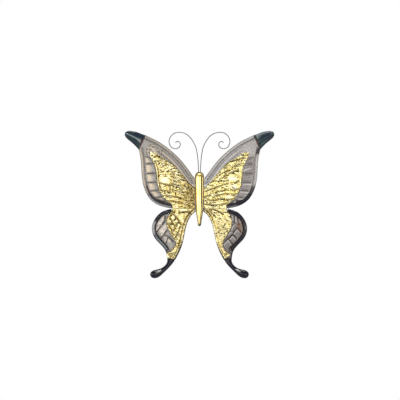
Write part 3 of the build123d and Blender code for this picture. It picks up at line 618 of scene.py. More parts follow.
# %% A satin head, with painted shade on the head and down the shaft
HEAD_FROM, HEAD_FULL = 0.0044, 0.0056
HEAD_ROUGHNESS, HEAD_SHADE_GOLD = 0.40, (0.52, 0.43, 0.17, 1)
SHADE_BELOW = ((-0.026, -0.041, (0.47, 0.37, 0.165, 1)), (-0.0406, -0.0424, (0.10, 0.095, 0.035, 1)))
tree = gold_plate.node_tree
plate = tree.nodes["Principled BSDF"]
polish, colour = [plate.inputs[label].links[0].from_socket for label in ("Roughness", "Base Color")]
height = add(tree, "ShaderNodeSeparateXYZ", {0: object_place(tree)}).outputs["Z"]
head_satin_and_shade = remap(tree, height, HEAD_FROM, HEAD_FULL)
# The head mask gives the satin roughness, and pulls the head's gold deeper as painted shade.
feed(tree, colour.node, {"Dark Colour": HEAD_SHADE_GOLD, "Dark Mask": head_satin_and_shade})
# Painted shade: the gold deepens down the shaft, and the very end is dark.
for start, full, shade_gold in SHADE_BELOW:
    colour = mix_colours(tree, remap(tree, height, start, full), colour, shade_gold)
dull = calculate(tree, "MAXIMUM", polish, calculate(tree, "MULTIPLY", head_satin_and_shade, HEAD_ROUGHNESS))
feed(tree, plate, {"Roughness": dull, "Base Color": colour})
print("satin from", HEAD_FROM, "m up, deeper gold from", SHADE_BELOW[0][0], "m down")

# %% [markdown]
# Every new piece is finished the same way: it gets its material, stands for its CAD node, which is hidden,
# and rides on the ornament's body.


def finish_piece(piece, material, node):
    piece.data.materials.append(material)
    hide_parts(node)
    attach(piece, "ornament")


# %% [markdown]
# The bead: the wings' edges are rolled into a round bead, with a narrow groove between the bead and the
# pane. Seen from the edge inwards, the height climbs as a quarter circle, drops into the groove and comes
# back up to the pane. Near the body the bead fades into the flat pane.

# %% The profile of the bead
BEAD_HALF = 1.7
GROOVE_HALF = 0.72
BEAD_FADE = (5.0, 8.0)


def bead_height(distance):
    """Half the thickness of a beaded pane at a distance from its edge."""
    across = distance / BEAD_WIDTH
    climb = BEAD_HALF * quarter_round(2 * across)
    drop = BEAD_HALF - (BEAD_HALF - GROOVE_HALF) * ease(0.5, 1.0, across)
    back_up = GROOVE_HALF + (PANE_HALF - GROOVE_HALF) * ease(1.0, 1.35, across)
    return np.where(across < 0.5, climb, np.where(across < 1.0, drop, back_up))


print("bead profile:", bead_height(np.array([0, 0.9, 1.8, 3.6, 5.0])).round(2))

# %% [markdown]
# Pillow cells: between the gold and the bead, the pane swells into a row of soft cells with grooves between
# them, like quilting. A point's height follows its distance to the nearest groove.

# %% Pillow cells
CELL_SWELL, CELL_ROUND = 0.85, 2.9
GROOVE_WIDTH = 0.55
CORNER_GAP, GOLD_OVERLAP = 0.7, (0.8, 0.0)


def pillow(gap):
    """The swell of a cell at a distance from the nearest groove."""
    return CELL_SWELL * np.sin(np.clip(gap / CELL_ROUND, 0, 1) * math.pi / 2)


def pillow_cells(points, outer, inner):
    """Heights of cells between two rows of corners, their groove mask, and a share that falls inwards."""
    region = inside(points, np.vstack((outer, inner[::-1])))
    to_outer, to_inner = distance_to(points, outer), distance_to(points, inner)
    to_ribs = distance_to(points, *zip(outer, inner))
    gap = np.minimum(np.minimum(to_outer, to_inner), to_ribs)
    share = to_inner / (to_inner + to_outer) * ease(0.3, 1.6, gap)
    return pillow(gap) * region, peak(to_ribs, GROOVE_WIDTH) * region, share * region


def at_heights(line, heights):
    """Points on a line at given heights."""
    order = np.argsort(line[:, 1])
    return np.column_stack((np.interp(heights, line[order, 1], line[order, 0]), heights))


cell_edge = inset(margin, BEAD_WIDTH + CORNER_GAP)
outer_corners = at_heights(cell_edge, (25.7, 18.0, 8.4, -0.6, -9.0, -15.8, -20.2))
inner_corners = at_heights(gold_outer - GOLD_OVERLAP, (23.7, 18.4, 8.8, -0.2, -8.2, -14.5, -18.6))
print("cells:", len(outer_corners) - 1, "on a forewing")

# %% [markdown]
# The forewing's pane is filled with points once, because its outline is the same on both sides. Each point
# is then measured: its bead, its cell, whether the gold covers it, and whether it lies in the grooved line
# inside the bead.

# %% Places on the forewing pane
FORE_SPACING, FINE_SPACING, FOIL_SPACING = 0.5, 0.45, 0.42
LINE_WIDTH = 0.5
fore_fill = fill_outline(fore_pane_outline, FORE_SPACING, (leading, margin))
flat = fore_fill[0]
u, v = flat.T
from_leading, from_margin = distance_to(flat, leading), distance_to(flat, margin)
edge = np.minimum(from_leading, from_margin)
bead = PANE_HALF + (bead_height(edge) - PANE_HALF) * ease(*BEAD_FADE, u)
cells, grooves, across = pillow_cells(flat, outer_corners, inner_corners)
in_cells = ease(0.0, 0.2, across)
on_bead = ease(0.3, 1.0, edge) * ease(BEAD_WIDTH, 2.6, edge)
by_margin = ease(BEAD_WIDTH + 0.3, BEAD_WIDTH - 0.5, from_margin)
inner_line = peak(edge - BEAD_WIDTH, LINE_WIDTH)
bare = ease(0.0, 1.2, distance_to(flat, gold_outer, gold_upper)) * ~inside(flat, fore_gold)
print("forewing pane:", len(flat), "points,", len(fore_fill[1]), "triangles a side")

# %% [markdown]
# Where the melt ran in the mould it left ridges along the leading edge. Bands of painted shade and painted
# light, dark and pale in turn, run beside them. Near the tip lie ripples, as rings on water, clearer on the
# left wing than on the right one.

# %% Ridges, ripples and painted ridge shading
RIDGE_STEP, RIDGE_HEIGHT = 3.1, 0.30
RIPPLE_MIDDLE = fore([(0.606, 0.728)])
RIPPLE_STEP, RIPPLE_FIRST = 2.8, 3.5
RIDGE_SHADE_AT, RIDGE_LIGHT_AT = (5.3, 9.0), (6.9, 11.2)
RIDGE_SHADE_WIDTH, RIDGE_LIGHT_WIDTH = 0.55, 0.7
ridges = np.cos(2 * math.pi * (from_leading - BEAD_WIDTH) / RIDGE_STEP) * ease(14.0, 10.0, from_leading)
ridges *= ease(4.0, 5.0, edge) * ease(48.0, 40.0, u) * ease(6.0, 10.0, u)
from_middle = np.linalg.norm(flat - RIPPLE_MIDDLE, axis=1)
rings = np.cos(2 * math.pi * (from_middle - RIPPLE_FIRST) / RIPPLE_STEP) * ease(2.0, 3.0, from_middle)
rings *= ease(10.5, 7.5, from_middle) * ease(4.0, 6.0, edge) * ease(0.2, 0.0, across)
# Painted shade and painted light in bands beside the ridges, dark and pale in turn.
ridge_shading_band = ease(46.0, 38.0, u) * ease(3.6, 4.6, edge)
painted_ridge_shade = sum(peak(from_leading - place, RIDGE_SHADE_WIDTH) for place in RIDGE_SHADE_AT) * ridge_shading_band
painted_ridge_light = sum(peak(from_leading - place, RIDGE_LIGHT_WIDTH) for place in RIDGE_LIGHT_AT) * ridge_shading_band
print("ripples round", RIPPLE_MIDDLE.round(1), "melt lines at", RIDGE_SHADE_AT + RIDGE_LIGHT_AT)

# %% [markdown]
# The two forewing panes. They share their shape apart from the ripples, and differ in their colour: each side
# has its own shares of painted light in the outer part of the cells, of milk on the bead and along the
# leading edge, of dusk and amber in the cells, and of the rings' painted light and shade. Pale streaks of
# painted highlight follow the ones seen in the photograph. The grooves and the line inside the bead get
# painted shade. The margin is dark at its foot, and on the right also at the shoulder below the tip.

# %% Forewing panes
PANE_LOOK = {
    "left": {"cells": 0.9, "bead": 0.42, "lead": 0.22, "dusk": 0.0, "amber": 0.0, "rings": 0.4,
             "ripple": 0.26},
    "right": {"cells": 0.1, "bead": 0.20, "lead": 0.30, "dusk": 0.30, "amber": 0.22, "rings": 0.2,
              "ripple": 0.14},
}
HIGHLIGHT_STREAKS = {
    "left": [[(44.5, 29.5), (48.5, 33.8), (53.0, 34.4)], [(46.5, 28.0), (49.5, 30.4), (53.0, 30.8)]],
    "right": [
        [(44.4, -2.6), (52.5, -2.3)], [(40.9, -10.2), (48.8, -10.6)], [(43.9, 11.0), (51.5, 13.7)],
        [(39.4, -17.2), (46.0, -17.0)], [(37.2, -14.8), (38.2, -12.0)], [(35.2, -20.8), (36.2, -19.0)],
    ],
}
HIGHLIGHT_STREAK_WIDTH = 0.6
GROOVE_SHADE_AND_FOOT_STAIN, LINE_SHADE, RIDGE_SHADE_WEIGHT = 0.95, 0.6, 0.45
HIGHLIGHT_STREAK_STRENGTH, RIDGE_LIGHT_WEIGHT = 0.9, 0.5
HIGHLIGHT_CLEARS_SHADE = 0.9
margin_line = inner_line * ease(30.0, 26.0, v) * (edge < from_leading)
dark_foot = ease(8.0, 5.0, from_margin) * ease(27.0, 31.0, u) * ease(-15.5, -18.5, v)
dark_bead, dark_shoulder = by_margin * ease(-2.0, -6.0, v), by_margin * ease(26.0, 29.0, v)
dark_margin = {"left": dark_bead * ease(1.4, 2.2, edge), "right": dark_shoulder + dark_bead}
amber_line = {"left": ease(0.0, -7.0, v), "right": 0.6 * ease(-6.0, 0.0, v)}
for side in SIDES:
    look = PANE_LOOK[side]
    relief = (cells + RIDGE_HEIGHT * ridges + look["ripple"] * rings) * bare
    painted_highlight = peak(distance_to(flat, *[lath(line) for line in HIGHLIGHT_STREAKS[side]]), HIGHLIGHT_STREAK_WIDTH) * bare
    # Painted shade in the grooves, along the line inside the bead, in the ridges' dark bands and in the
    # rings' troughs; the margin's dark foot and edge are dye.
    stain_and_shade = GROOVE_SHADE_AND_FOOT_STAIN * grooves + LINE_SHADE * inner_line + GROOVE_SHADE_AND_FOOT_STAIN * dark_foot
    stain_and_shade = stain_and_shade + look["dusk"] * in_cells + RIDGE_SHADE_WEIGHT * painted_ridge_shade
    stain_and_shade = stain_and_shade + look["rings"] * np.clip(-rings, 0, 1) * bare + dark_margin[side]
    # Painted light on the outer part of each cell, on the ridges' pale bands, on the rings' crests and in the
    # highlight streaks; the milk on the bead is dye.
    milk_and_highlight = np.maximum.reduce((
        ease(0.3, 0.8, across) * look["cells"],
        np.where(edge < from_leading, look["bead"], look["lead"]) * on_bead,
        RIDGE_LIGHT_WEIGHT * painted_ridge_light, HIGHLIGHT_STREAK_STRENGTH * painted_highlight, look["rings"] * np.clip(rings, 0, 1) * bare,
    ))
    amber = np.maximum(margin_line * amber_line[side], look["amber"] * in_cells * (1 - painted_highlight))
    masks = {"stain_and_shade": np.clip(stain_and_shade, 0, 1) * (1 - HIGHLIGHT_CLEARS_SHADE * painted_highlight), "milk_and_highlight": milk_and_highlight, "amber": amber}
    pane = moulded_sheet(side, "forewing_glass", fore_fill, bead + relief, -bead, masks)
    finish_piece(pane, smoke[side], f"{side}_forewing_pane")
    print(pane.name, "with", len(HIGHLIGHT_STREAKS[side]), "streaks")

# %% [markdown]
# The forewing's edging: the dark stretch of the bead. On the right wing it is dark all through, with a
# faint glint painted on it. On the left one the bead stays clear at its outside and the dark dye lies in
# its inner half, so it gets an acrylic with a near-black stain instead of the lacquer.

# %% Forewing edgings
GLINT_PLACE, GLINT_WIDTH, EDGING_GLINT = 1.0, 0.6, 0.22
edged_acrylic = smoke_acrylic(
    "smoke_acrylic_edging", pale=(0.52, 0.50, 0.49, 1), deep=(0.42, 0.41, 0.42, 1),
    stain_and_shade=(0.018, 0.016, 0.026, 1), milk_and_highlight=(0.40, 0.50, 0.53, 1), amber=(0.09, 0.03, 0.035, 1),
)
band_finish = {"left": edged_acrylic, "right": black}
edging_fill = fill_outline(np.vstack((edging_outer, edging_inner[::-1])), FINE_SPACING, (margin,))
edge = distance_to(edging_fill[0], margin)
edging_bead = bead_height(edge)
glint = EDGING_GLINT * peak(edge - GLINT_PLACE, GLINT_WIDTH) * ease(40.0, 36.0, edging_fill[0][:, 0])
edging_masks = {
    "left": {"stain_and_shade": ease(1.2, 2.2, edge), "milk_and_highlight": np.zeros(len(edge))},
    "right": {"stain_and_shade": ease(0.9, 0.0, edge) * 0.5, "milk_and_highlight": glint},
}
for side in SIDES:
    band = moulded_sheet(side, "forewing_band", edging_fill, edging_bead, -edging_bead, edging_masks[side])
    finish_piece(band, band_finish[side], f"{side}_forewing_edging")
print("edging:", len(edging_fill[0]), "points")

# %% [markdown]
# Crumpled foil. A noise texture would give soft hills, but foil breaks into small flat facets that each
# lean their own way, which is why it glitters. So the sheet is strewn with seeds, each seed carries a small
# leaning plane, and the planes are blended where they meet. On the wing, the facets are drawn out along
# rays from the root, as the real gold is.

# %% The maker of crumpled foil


def fan_out(points, root, stretch):
    """Points measured along and across the rays from a root, with the rays shortened by the stretch."""
    away = points - root
    reach = np.linalg.norm(away, axis=1)
    angle = np.arctan2(away[:, 1], away[:, 0])
    return np.column_stack((reach / stretch, angle * np.maximum(reach, 12.0))), angle


def crumple(points, facet, lean, seed):
    """Heights of a sheet that is broken into leaning facets."""
    random = np.random.default_rng(seed)
    low, high = points.min(0) - facet, points.max(0) + facet
    columns, rows = [np.arange(low[axis], high[axis], facet) for axis in (0, 1)]
    grid = np.array([(x, y) for x in columns for y in rows])
    seeds = grid + random.uniform(-0.45, 0.45, grid.shape) * facet
    leans = random.normal(0, lean, grid.shape)
    lifts = random.uniform(-0.22, 0.22, len(grid)) * facet
    total, weight = np.zeros(len(points)), np.full(len(points), 1e-9)
    for middle, slope, lift in zip(seeds, leans, lifts):
        away = points - middle
        near = np.exp(-(away**2).sum(1) / (2 * (0.3 * facet) ** 2))
        total += near * (lift + away @ slope)
        weight += near
    return total / weight


def ragged(outline, amount, seed):
    """An outline with small random bites along it."""
    random = np.random.default_rng(seed)
    bite = np.convolve(random.uniform(-1, 1, len(outline) + 2), (0.25, 0.5, 0.25), "valid")
    way = np.roll(outline, -1, axis=0) - np.roll(outline, 1, axis=0)
    return outline + to_right(way) * (bite * amount)[:, None]


print("five facet heights:", crumple(np.array([(i, 0.0) for i in range(5)]), 1.6, 0.35, 1).round(2))

# %% [markdown]
# The gold fields lie on the panes. The front is crumpled, the back is flat and just inside the pane, and
# the field thins out towards its ragged edge. Vein grooves cut through the facets, pleats run along the
# rays, and in places the foil is quilted between the grooves. On the right the facets are drawn out further
# and lean less than on the left.

# %% The relief of a gold field
FOIL_LOW, FOIL_MIDDLE, FOIL_HIGH = 0.10, 0.50, 0.86
FOIL_SINK = 0.08
FINE_FACET, FINE_SEED = 1.2, 50
PLEATS = 46
FACET_SHARE, FINE_SHARE = 0.46, 0.22
GROOVE_CALM, QUILT_CALM = 0.65, 0.6
GROOVE_DEPTH = 0.30
QUILT_RISE, QUILT_LEVEL, QUILT_ROUND = 0.34, 0.6, 2.6
FOIL_LOOK = {
    "left": {"facet": 2.0, "lean": 0.36, "fine_lean": 0.30, "stretch": 1.3, "pleat": 0.07,
             "groove": 0.85, "crease": 0.6, "root": 0.8},
    "right": {"facet": 1.9, "lean": 0.31, "fine_lean": 0.27, "stretch": 2.6, "pleat": 0.035,
              "groove": 0.6, "crease": 0.3, "root": 0.0},
}


def foil_heights(points, free_edge, root, side, seed, grooves, quilted):
    """The front of a gold field above its pane, and a mask of painted shade in its grooves, creases and low
    places.
    """
    look = FOIL_LOOK[side]
    fanned, angle = fan_out(points, root, look["stretch"])
    facets = crumple(fanned, look["facet"], look["lean"], seed)
    fine = crumple(points, FINE_FACET, look["fine_lean"], seed + FINE_SEED)
    pleats = np.cos(angle * PLEATS) * look["pleat"]
    to_groove = distance_to(points, *grooves)
    groove = peak(to_groove, GROOVE_WIDTH)
    calm = 1 - GROOVE_CALM * ease(1.8, 0.3, to_groove)
    quilt = quilted * QUILT_RISE * (quarter_round(to_groove / QUILT_ROUND) - QUILT_LEVEL)
    crumbs = (FACET_SHARE * facets + FINE_SHARE * fine + pleats) * (1 - QUILT_CALM * quilted) * calm
    height = np.clip(FOIL_MIDDLE + crumbs + quilt - GROOVE_DEPTH * groove, FOIL_LOW, FOIL_HIGH)
    # Painted shade: the foil's grooves and low places are darkened.
    dark = np.clip(look["groove"] * groove + look["crease"] * ease(0.36, 0.14, height), 0, 1)
    return FOIL_LOW + (height - FOIL_LOW) * ease(0.0, 0.9, distance_to(points, free_edge)), dark


print("foil stands", FOIL_LOW, "to", FOIL_HIGH, "mm above its pane")

# %% [markdown]
# The forewing's gold. Its vein grooves follow the photograph and differ from side to side, so each side has a
# table of them, in millimetres on the sheet. A second table holds the painted highlights: their middles,
# their reach both ways and how strong they are.

# %% Gold on the forewings
FORE_ROOT = fore([(0.03, 0.14)])[0]
FORE_SEED = {"left": 11, "right": 12}
FOIL_HIGHLIGHT_SPOTS = {
    "left": [((35.8, 1.8), (4.0, 2.4), 0.55)],
    "right": [((33.6, 3.4), (3.2, 2.0), 0.7), ((34.2, -4.7), (3.2, 2.0), 0.7),
              ((30.4, -14.8), (3.0, 1.5), 0.45)],
}
FORE_GROOVES = {
    "left": [
        [(41.5, 6.0), (38.0, 7.2), (34.0, 7.5)], [(40.5, -1.0), (34.0, -2.4), (26.8, -3.6)],
        [(41.5, -7.5), (35.0, -8.8), (29.2, -9.9)], [(38.5, -14.4), (25.3, -14.6), (18.5, -15.8)],
        [(33.0, -18.8), (25.0, -19.6), (18.1, -20.6)],
        [(13.0, 4.0), (22.0, 13.0), (33.0, 22.0), (44.0, 27.0)],
        [(29.5, -3.6), (29.3, -9.8)], [(26.4, -3.9), (26.6, -9.6)], [(24.0, -10.6), (23.6, -14.8)],
    ],
    "right": [
        [(6.0, -9.2), (13.0, -6.4), (20.5, -4.0), (28.0, -1.8), (34.0, -1.2), (40.0, 1.4)],
        [(5.2, -14.9), (10.5, -12.9), (15.5, -10.3), (21.8, -9.1), (28.5, -7.5), (34.0, -7.6), (40.5, -6.5)],
        [(15.0, -14.0), (21.0, -12.6), (28.7, -11.9), (32.0, -12.4), (37.0, -12.2)],
        [(5.2, -19.0), (9.5, -18.0), (15.5, -18.6), (20.5, -16.9), (26.8, -17.2), (31.0, -17.4),
         (35.0, -16.8)],
        [(5.0, -22.5), (11.5, -22.2), (18.7, -23.0), (24.8, -22.2), (27.0, -21.6), (30.0, -20.0)],
        [(20.0, 2.4), (25.0, 5.6), (30.0, 8.3), (34.5, 10.4), (40.0, 12.2)],
        [(11.4, -0.8), (18.5, 5.5), (26.4, 10.7), (31.0, 12.2)], [(33.9, 21.3), (40.0, 23.2), (46.9, 24.1)],
        [(33.0, 14.6), (38.0, 17.2), (43.5, 18.6)],
    ],
}
BORDER_INSET, BORDER_LOW, BORDER_HIGH = 2.2, -6.0, 22.0
FORE_BITES, FOIL_HIGHLIGHT_CLEARS = 0.55, 0.5
gold_border = inset(gold_outer, BORDER_INSET)
gold_border = gold_border[(gold_border[:, 1] > BORDER_LOW) & (gold_border[:, 1] < BORDER_HIGH)]
for side in SIDES:
    outline = ragged(fore_gold, FORE_BITES, FORE_SEED[side])
    outline[-2:] = gold_foot
    filled = fill_outline(outline, FOIL_SPACING)
    flat = filled[0]
    grooves = [lath(line) for line in FORE_GROOVES[side]] + [gold_border]
    quilted = ease(15.0, 11.0, distance_to(flat, gold_outer)) * ease(16.0, 6.0, flat[:, 1])
    height, dark = foil_heights(flat, outline[:-2], FORE_ROOT, side, FORE_SEED[side], grooves, quilted)
    dark = np.clip(dark + FOIL_LOOK[side]["root"] * ease(28.0, 8.0, flat[:, 0]), 0, 1)
    # Painted highlights: the foil goes nearly white at these spots, and the painted shade there is cleared.
    painted_foil_highlight = sum(highlight_strength * spot(flat, middle, reach) for middle, reach, highlight_strength in FOIL_HIGHLIGHT_SPOTS[side])
    base = np.full(len(flat), PANE_HALF - FOIL_SINK)
    masks = {"stain_and_shade": dark * (1 - FOIL_HIGHLIGHT_CLEARS * painted_foil_highlight), "painted_foil_highlight": painted_foil_highlight}
    gold = moulded_sheet(side, "forewing_gold", filled, PANE_HALF + height, base, masks)
    finish_piece(gold, fore_leaf[side], f"{side}_forewing_gilding")
    print(gold.name, len(flat), "points")

# %% [markdown]
# Horns. The tips and the tails are dark rounded horns on the cut ends of the panes. Each is made as a stack
# of oval rings, whose sizes come from a smooth curve through a few measured ones, and the front half of a
# ring can carry a soft ridge. The narrow pale streak on a horn is a reflection in the photograph. A lamp
# that made it would also streak the cells, so it is painted as a paler dye. The collar at the joint is
# painted too.

# %% The maker of horns
import bmesh

RING_POINTS = 40
RING_STEP = 0.4
RIDGE_WIDTH, COLLAR_WIDTH = 0.26, 0.45


def horn(side, name, stations, across, sheen, ridge=0.0, ridge_place=0.0, setback=0.0):
    """A closed stack of oval rings. A station holds its middle, width and thickness on the wing's sheet."""
    turn = np.linspace(0, 2 * math.pi, RING_POINTS, endpoint=False)
    lean, rise = np.cos(turn), np.sin(turn)
    crest = np.where(rise > 0, peak(lean - ridge_place, RIDGE_WIDTH), 1.0)
    rings = []
    for (u, v, width, thickness), sideways in zip(stations, across):
        flat = np.array((u, v)) + lean[:, None] * sideways * width / 2
        rings.append(place_on_sheet(flat, thickness / 2 * rise * (1 - ridge + ridge * crest), side, setback))
    numbers = np.arange(len(rings) * RING_POINTS).reshape(len(rings), RING_POINTS)
    ahead = np.roll(numbers, -1, axis=1)
    faces = np.stack((numbers[:-1], ahead[:-1], ahead[1:], numbers[1:]), -1).reshape(-1, 4).tolist()
    faces += [numbers[0].tolist(), numbers[-1].tolist()]
    along = np.arange(len(rings)) / (len(rings) - 1)
    collar = np.outer(ease(0.09, 0.04, along), peak(lean, COLLAR_WIDTH) * (rise > 0))
    sheen_place, sheen_width, strength, start, end = sheen
    spread = sheen_width * (1 + 1.6 * ease(start + 0.3, start, along))
    stripe = peak(lean[None, :] - sheen_place, spread[:, None]) * (rise > 0)
    stripe *= strength * (ease(start, start + 0.06, along) * ease(end, end - 0.12, along))[:, None]
    masks = {"stain_and_shade": collar.ravel(), "milk_and_highlight": stripe.ravel()}
    made = new_piece(f"{side}_{name}", np.vstack(rings), faces, masks)
    shape = bmesh.new()
    shape.from_mesh(made.data)
    bmesh.ops.recalc_face_normals(shape, faces=shape.faces)
    shape.to_mesh(made.data)
    shape.free()
    return made


print("a ring has", RING_POINTS, "points")

# %% [markdown]
# The forewing's tip starts on the line between the leading edge and the margin and tapers to a round end. A
# section gives its place along the tip, its width, its thickness and its shift sideways, each as a share. A
# sheen gives its place across the ring, its width, its strength, and where along the horn it starts and
# ends.

# %% Forewing tips
TIP_LENGTH, TIP_THICKNESS = 19.4, 5.0
TIP_RIDGE, TIP_RIDGE_PLACE = 0.34, 0.1
TIP_SHEEN = {"left": (0.0, 0.08, 0.9, 0.05, 0.86), "right": (-0.78, 0.18, 0.6, 0.05, 0.86)}
TIP_SECTIONS = np.array([
    (0.0, 1.0, 0.8, 0.0), (0.2, 0.87, 1.0, -0.04), (0.435, 0.755, 1.0, -0.081), (0.70, 0.60, 0.92, -0.085),
    (0.86, 0.46, 0.76, -0.083), (0.955, 0.29, 0.5, -0.08), (1.0, 0.08, 0.16, -0.08),
])
tip_across = margin[0] - leading[-1]
tip_width = np.linalg.norm(tip_across)
tip_ahead = np.array((-tip_across[1], tip_across[0])) / tip_width
tip_middle = (leading[-1] + margin[0]) / 2
tip_stations = lath(np.column_stack((
    tip_middle + TIP_SECTIONS[:, :1] * TIP_LENGTH * tip_ahead + TIP_SECTIONS[:, 3:] * tip_across,
    TIP_SECTIONS[:, 1] * tip_width,
    TIP_SECTIONS[:, 2] * TIP_THICKNESS,
)), RING_STEP)
tip_sideways = np.tile(tip_across / tip_width, (len(tip_stations), 1))
for side in SIDES:
    sheen = TIP_SHEEN[side]
    tip = horn(side, "forewing_horn", tip_stations, tip_sideways, sheen, TIP_RIDGE, TIP_RIDGE_PLACE)
    finish_piece(tip, teal, f"{side}_forewing_tip")
print("tip:", len(tip_stations), "rings")

# %% [markdown]
# The hindwing's pane carries scales that overlap like shingles. They differ from side to side on the real
# one, so each side has its own table of grooves, which get painted shadow, and of crests, which get painted
# highlights, and the left one has a table of creamy places, all in millimetres on the sheet.

# %% Scales of the hindwing
SCALE_GROOVES = {
    "left": [
        [(39.2, -44.8), (43.5, -50.6)], [(32.9, -48.1), (37.4, -54.6), (38.4, -57.9)],
        [(34.3, -34.3), (34.7, -38.3), (37.4, -42.6)], [(31.8, -55.7), (33.6, -60.5)],
        [(35.8, -52.5), (31.1, -55.0), (26.3, -59.4)],
        [(42.9, -52.5), (38.1, -58.6), (33.6, -63.7), (31.4, -67.7)],
    ],
    "right": [
        [(29.9, -56.4), (33.3, -53.0), (36.8, -56.7)], [(23.8, -61.8), (28.9, -57.0), (32.4, -62.2)],
        [(34.1, -50.9), (37.9, -46.4), (40.9, -49.5)], [(31.2, -47.6), (33.4, -42.8)],
        [(35.0, -34.5), (35.2, -40.0)], [(38.2, -36.0), (39.4, -41.0)], [(33.0, -62.0), (29.6, -68.0)],
    ],
}
SCALE_CRESTS = {
    "left": [[(40.6, -44.4), (44.6, -49.8)], [(34.0, -47.6), (38.3, -53.6)], [(36.0, -34.6), (38.6, -42.0)],
             [(32.7, -55.2), (34.6, -59.8)]],
    "right": [
        [(30.7, -57.2), (33.3, -54.3), (36.0, -57.5)], [(24.6, -62.6), (28.9, -58.3), (31.6, -63.0)],
        [(34.9, -51.7), (37.9, -47.7), (40.1, -50.3)], [(32.0, -48.1), (34.2, -43.4)],
        [(28.9, -53.2), (31.3, -50.3)], [(33.1, -34.5), (33.6, -38.0)], [(36.4, -35.0), (36.7, -40.0)],
        [(39.9, -37.0), (41.9, -41.0)], [(34.8, -63.5), (30.8, -69.5)],
    ],
}
SCALE_CREAM = {
    "left": [(40.9, -41.0), (36.8, -37.0), (39.9, -47.5), (34.8, -44.5), (34.6, -53.5), (30.8, -58.0),
             (37.6, -48.5)],
    "right": [],
}
CREAM_REACH, SCALE_SWELL = 2.2, 0.8
SCALE_GROOVE_WIDTH = {"left": 1.0, "right": 0.85}
CREST_WIDTH, CREST_ROUND, CREST_RISE = 0.5, 0.8, 0.25
print("scale grooves:", {side: len(lines) for side, lines in SCALE_GROOVES.items()})

# %% [markdown]
# The hindwing's panes lie on the sheet behind the forewing's. The part that laps behind the forewing stays
# flat, the neck and the hems by the tail are dark, and the right pane is duskier all over, with an amber
# patch beside its rim.

# %% Hindwing panes
HIND_DUSK = {"left": 0.06, "right": 0.56}
INNER_HEM = {"left": (-58.0, -64.0), "right": (-66.0, -71.0)}
AMBER_MIDDLE, AMBER_REACH = (40.6, -44.0), (2.6, 5.0)
AMBER_PATCH, AMBER_ALL_OVER = 0.9, 0.15
hind_fill = fill_outline(hind_pane_outline, FINE_SPACING, (hind_margin,))
flat = hind_fill[0]
u, v = flat.T
edge, from_inner = distance_to(flat, hind_margin), distance_to(flat, hind_inner)
lapped = ease(-1.0, 0.5, v + JOINT_DROP)
bead = PANE_HALF + (bead_height(edge) - PANE_HALF) * ease(*BEAD_FADE, u) * (1 - lapped)
bead *= 0.7 + 0.3 * ease(0.0, 0.4, from_inner)
inner_line = peak(edge - BEAD_WIDTH, LINE_WIDTH)
neck = ease(-75.5, -77.0, v)
outer_hem = ease(2.2, 1.2, edge) * ease(-64.0, -67.0, v)
for side in SIDES:
    bare = ease(0.0, 1.0, distance_to(flat, hind_gold_outer[side])) * ease(3.4, 4.4, edge) * (1 - lapped)
    bare *= ~inside(flat, hind_gold[side])
    to_groove, to_crest = distance_to(flat, *SCALE_GROOVES[side]), distance_to(flat, *SCALE_CRESTS[side])
    relief = (SCALE_SWELL * pillow(to_groove) + CREST_RISE * peak(to_crest, CREST_ROUND)) * bare
    groove = peak(to_groove, SCALE_GROOVE_WIDTH[side]) * ease(3.0, 3.8, edge)
    hem = np.maximum(ease(1.8, 0.8, from_inner) * ease(*INNER_HEM[side], v), outer_hem)
    crest = peak(to_crest, CREST_WIDTH)
    # Painted shadow in the scale grooves and along the line inside the bead; the neck and the hems are dark
    # dye.
    stain_and_shade = np.clip(GROOVE_SHADE_AND_FOOT_STAIN * groove + LINE_SHADE * inner_line + HIND_DUSK[side] + neck + hem, 0, 1)
    cream = sum((spot(flat, middle, CREAM_REACH) for middle in SCALE_CREAM[side]), np.zeros(len(flat)))
    if side == "left":
        amber = inner_line * ease(-36.0, -40.0, v)
    else:
        patch = AMBER_PATCH * spot(flat, AMBER_MIDDLE, AMBER_REACH)
        amber = np.clip(bare * (patch + AMBER_ALL_OVER * (1 - crest)), 0, 1)
    # Painted highlights on the crests, which clear the painted shadow under them.
    masks = {"stain_and_shade": stain_and_shade * (1 - HIGHLIGHT_CLEARS_SHADE * crest * bare),
             "milk_and_highlight": np.clip(crest + cream, 0, 1) * bare, "amber": amber}
    pane = moulded_sheet(side, "hindwing_glass", hind_fill, bead + relief, -bead, masks, HIND_SETBACK)
    finish_piece(pane, smoke_hind[side], f"{side}_hindwing_pane")
print("hindwing pane:", len(flat), "points")

# %% [markdown]
# The hindwing's rim is the dark stretch of its bead, made like the forewing's edging. The left one has a
# clear stretch at its outside and a streak of painted highlight below it, and the right one is dark with a
# small painted glint.

# %% Hindwing rims
RIM_GLINT, RIM_GLINT_AT, RIM_GLINT_LENGTH = 0.25, -45.5, 1.8
RIM_HIGHLIGHT_AT, RIM_HIGHLIGHT_WIDTH, RIM_HIGHLIGHT_THINS = 1.9, 0.75, 0.75
rim_fill = fill_outline(np.vstack((rim_outer, rim_inner[::-1])), FINE_SPACING, (hind_margin,))
edge = distance_to(rim_fill[0], hind_margin)
rim_bead = bead_height(edge)
v = rim_fill[0][:, 1]
rim_glint = RIM_GLINT * peak(edge - GLINT_PLACE, GLINT_WIDTH) * peak(v - RIM_GLINT_AT, RIM_GLINT_LENGTH)
clear_stretch = ease(-38.0, -41.0, v) * ease(-54.0, -50.0, v) * ease(2.9, 2.1, edge)
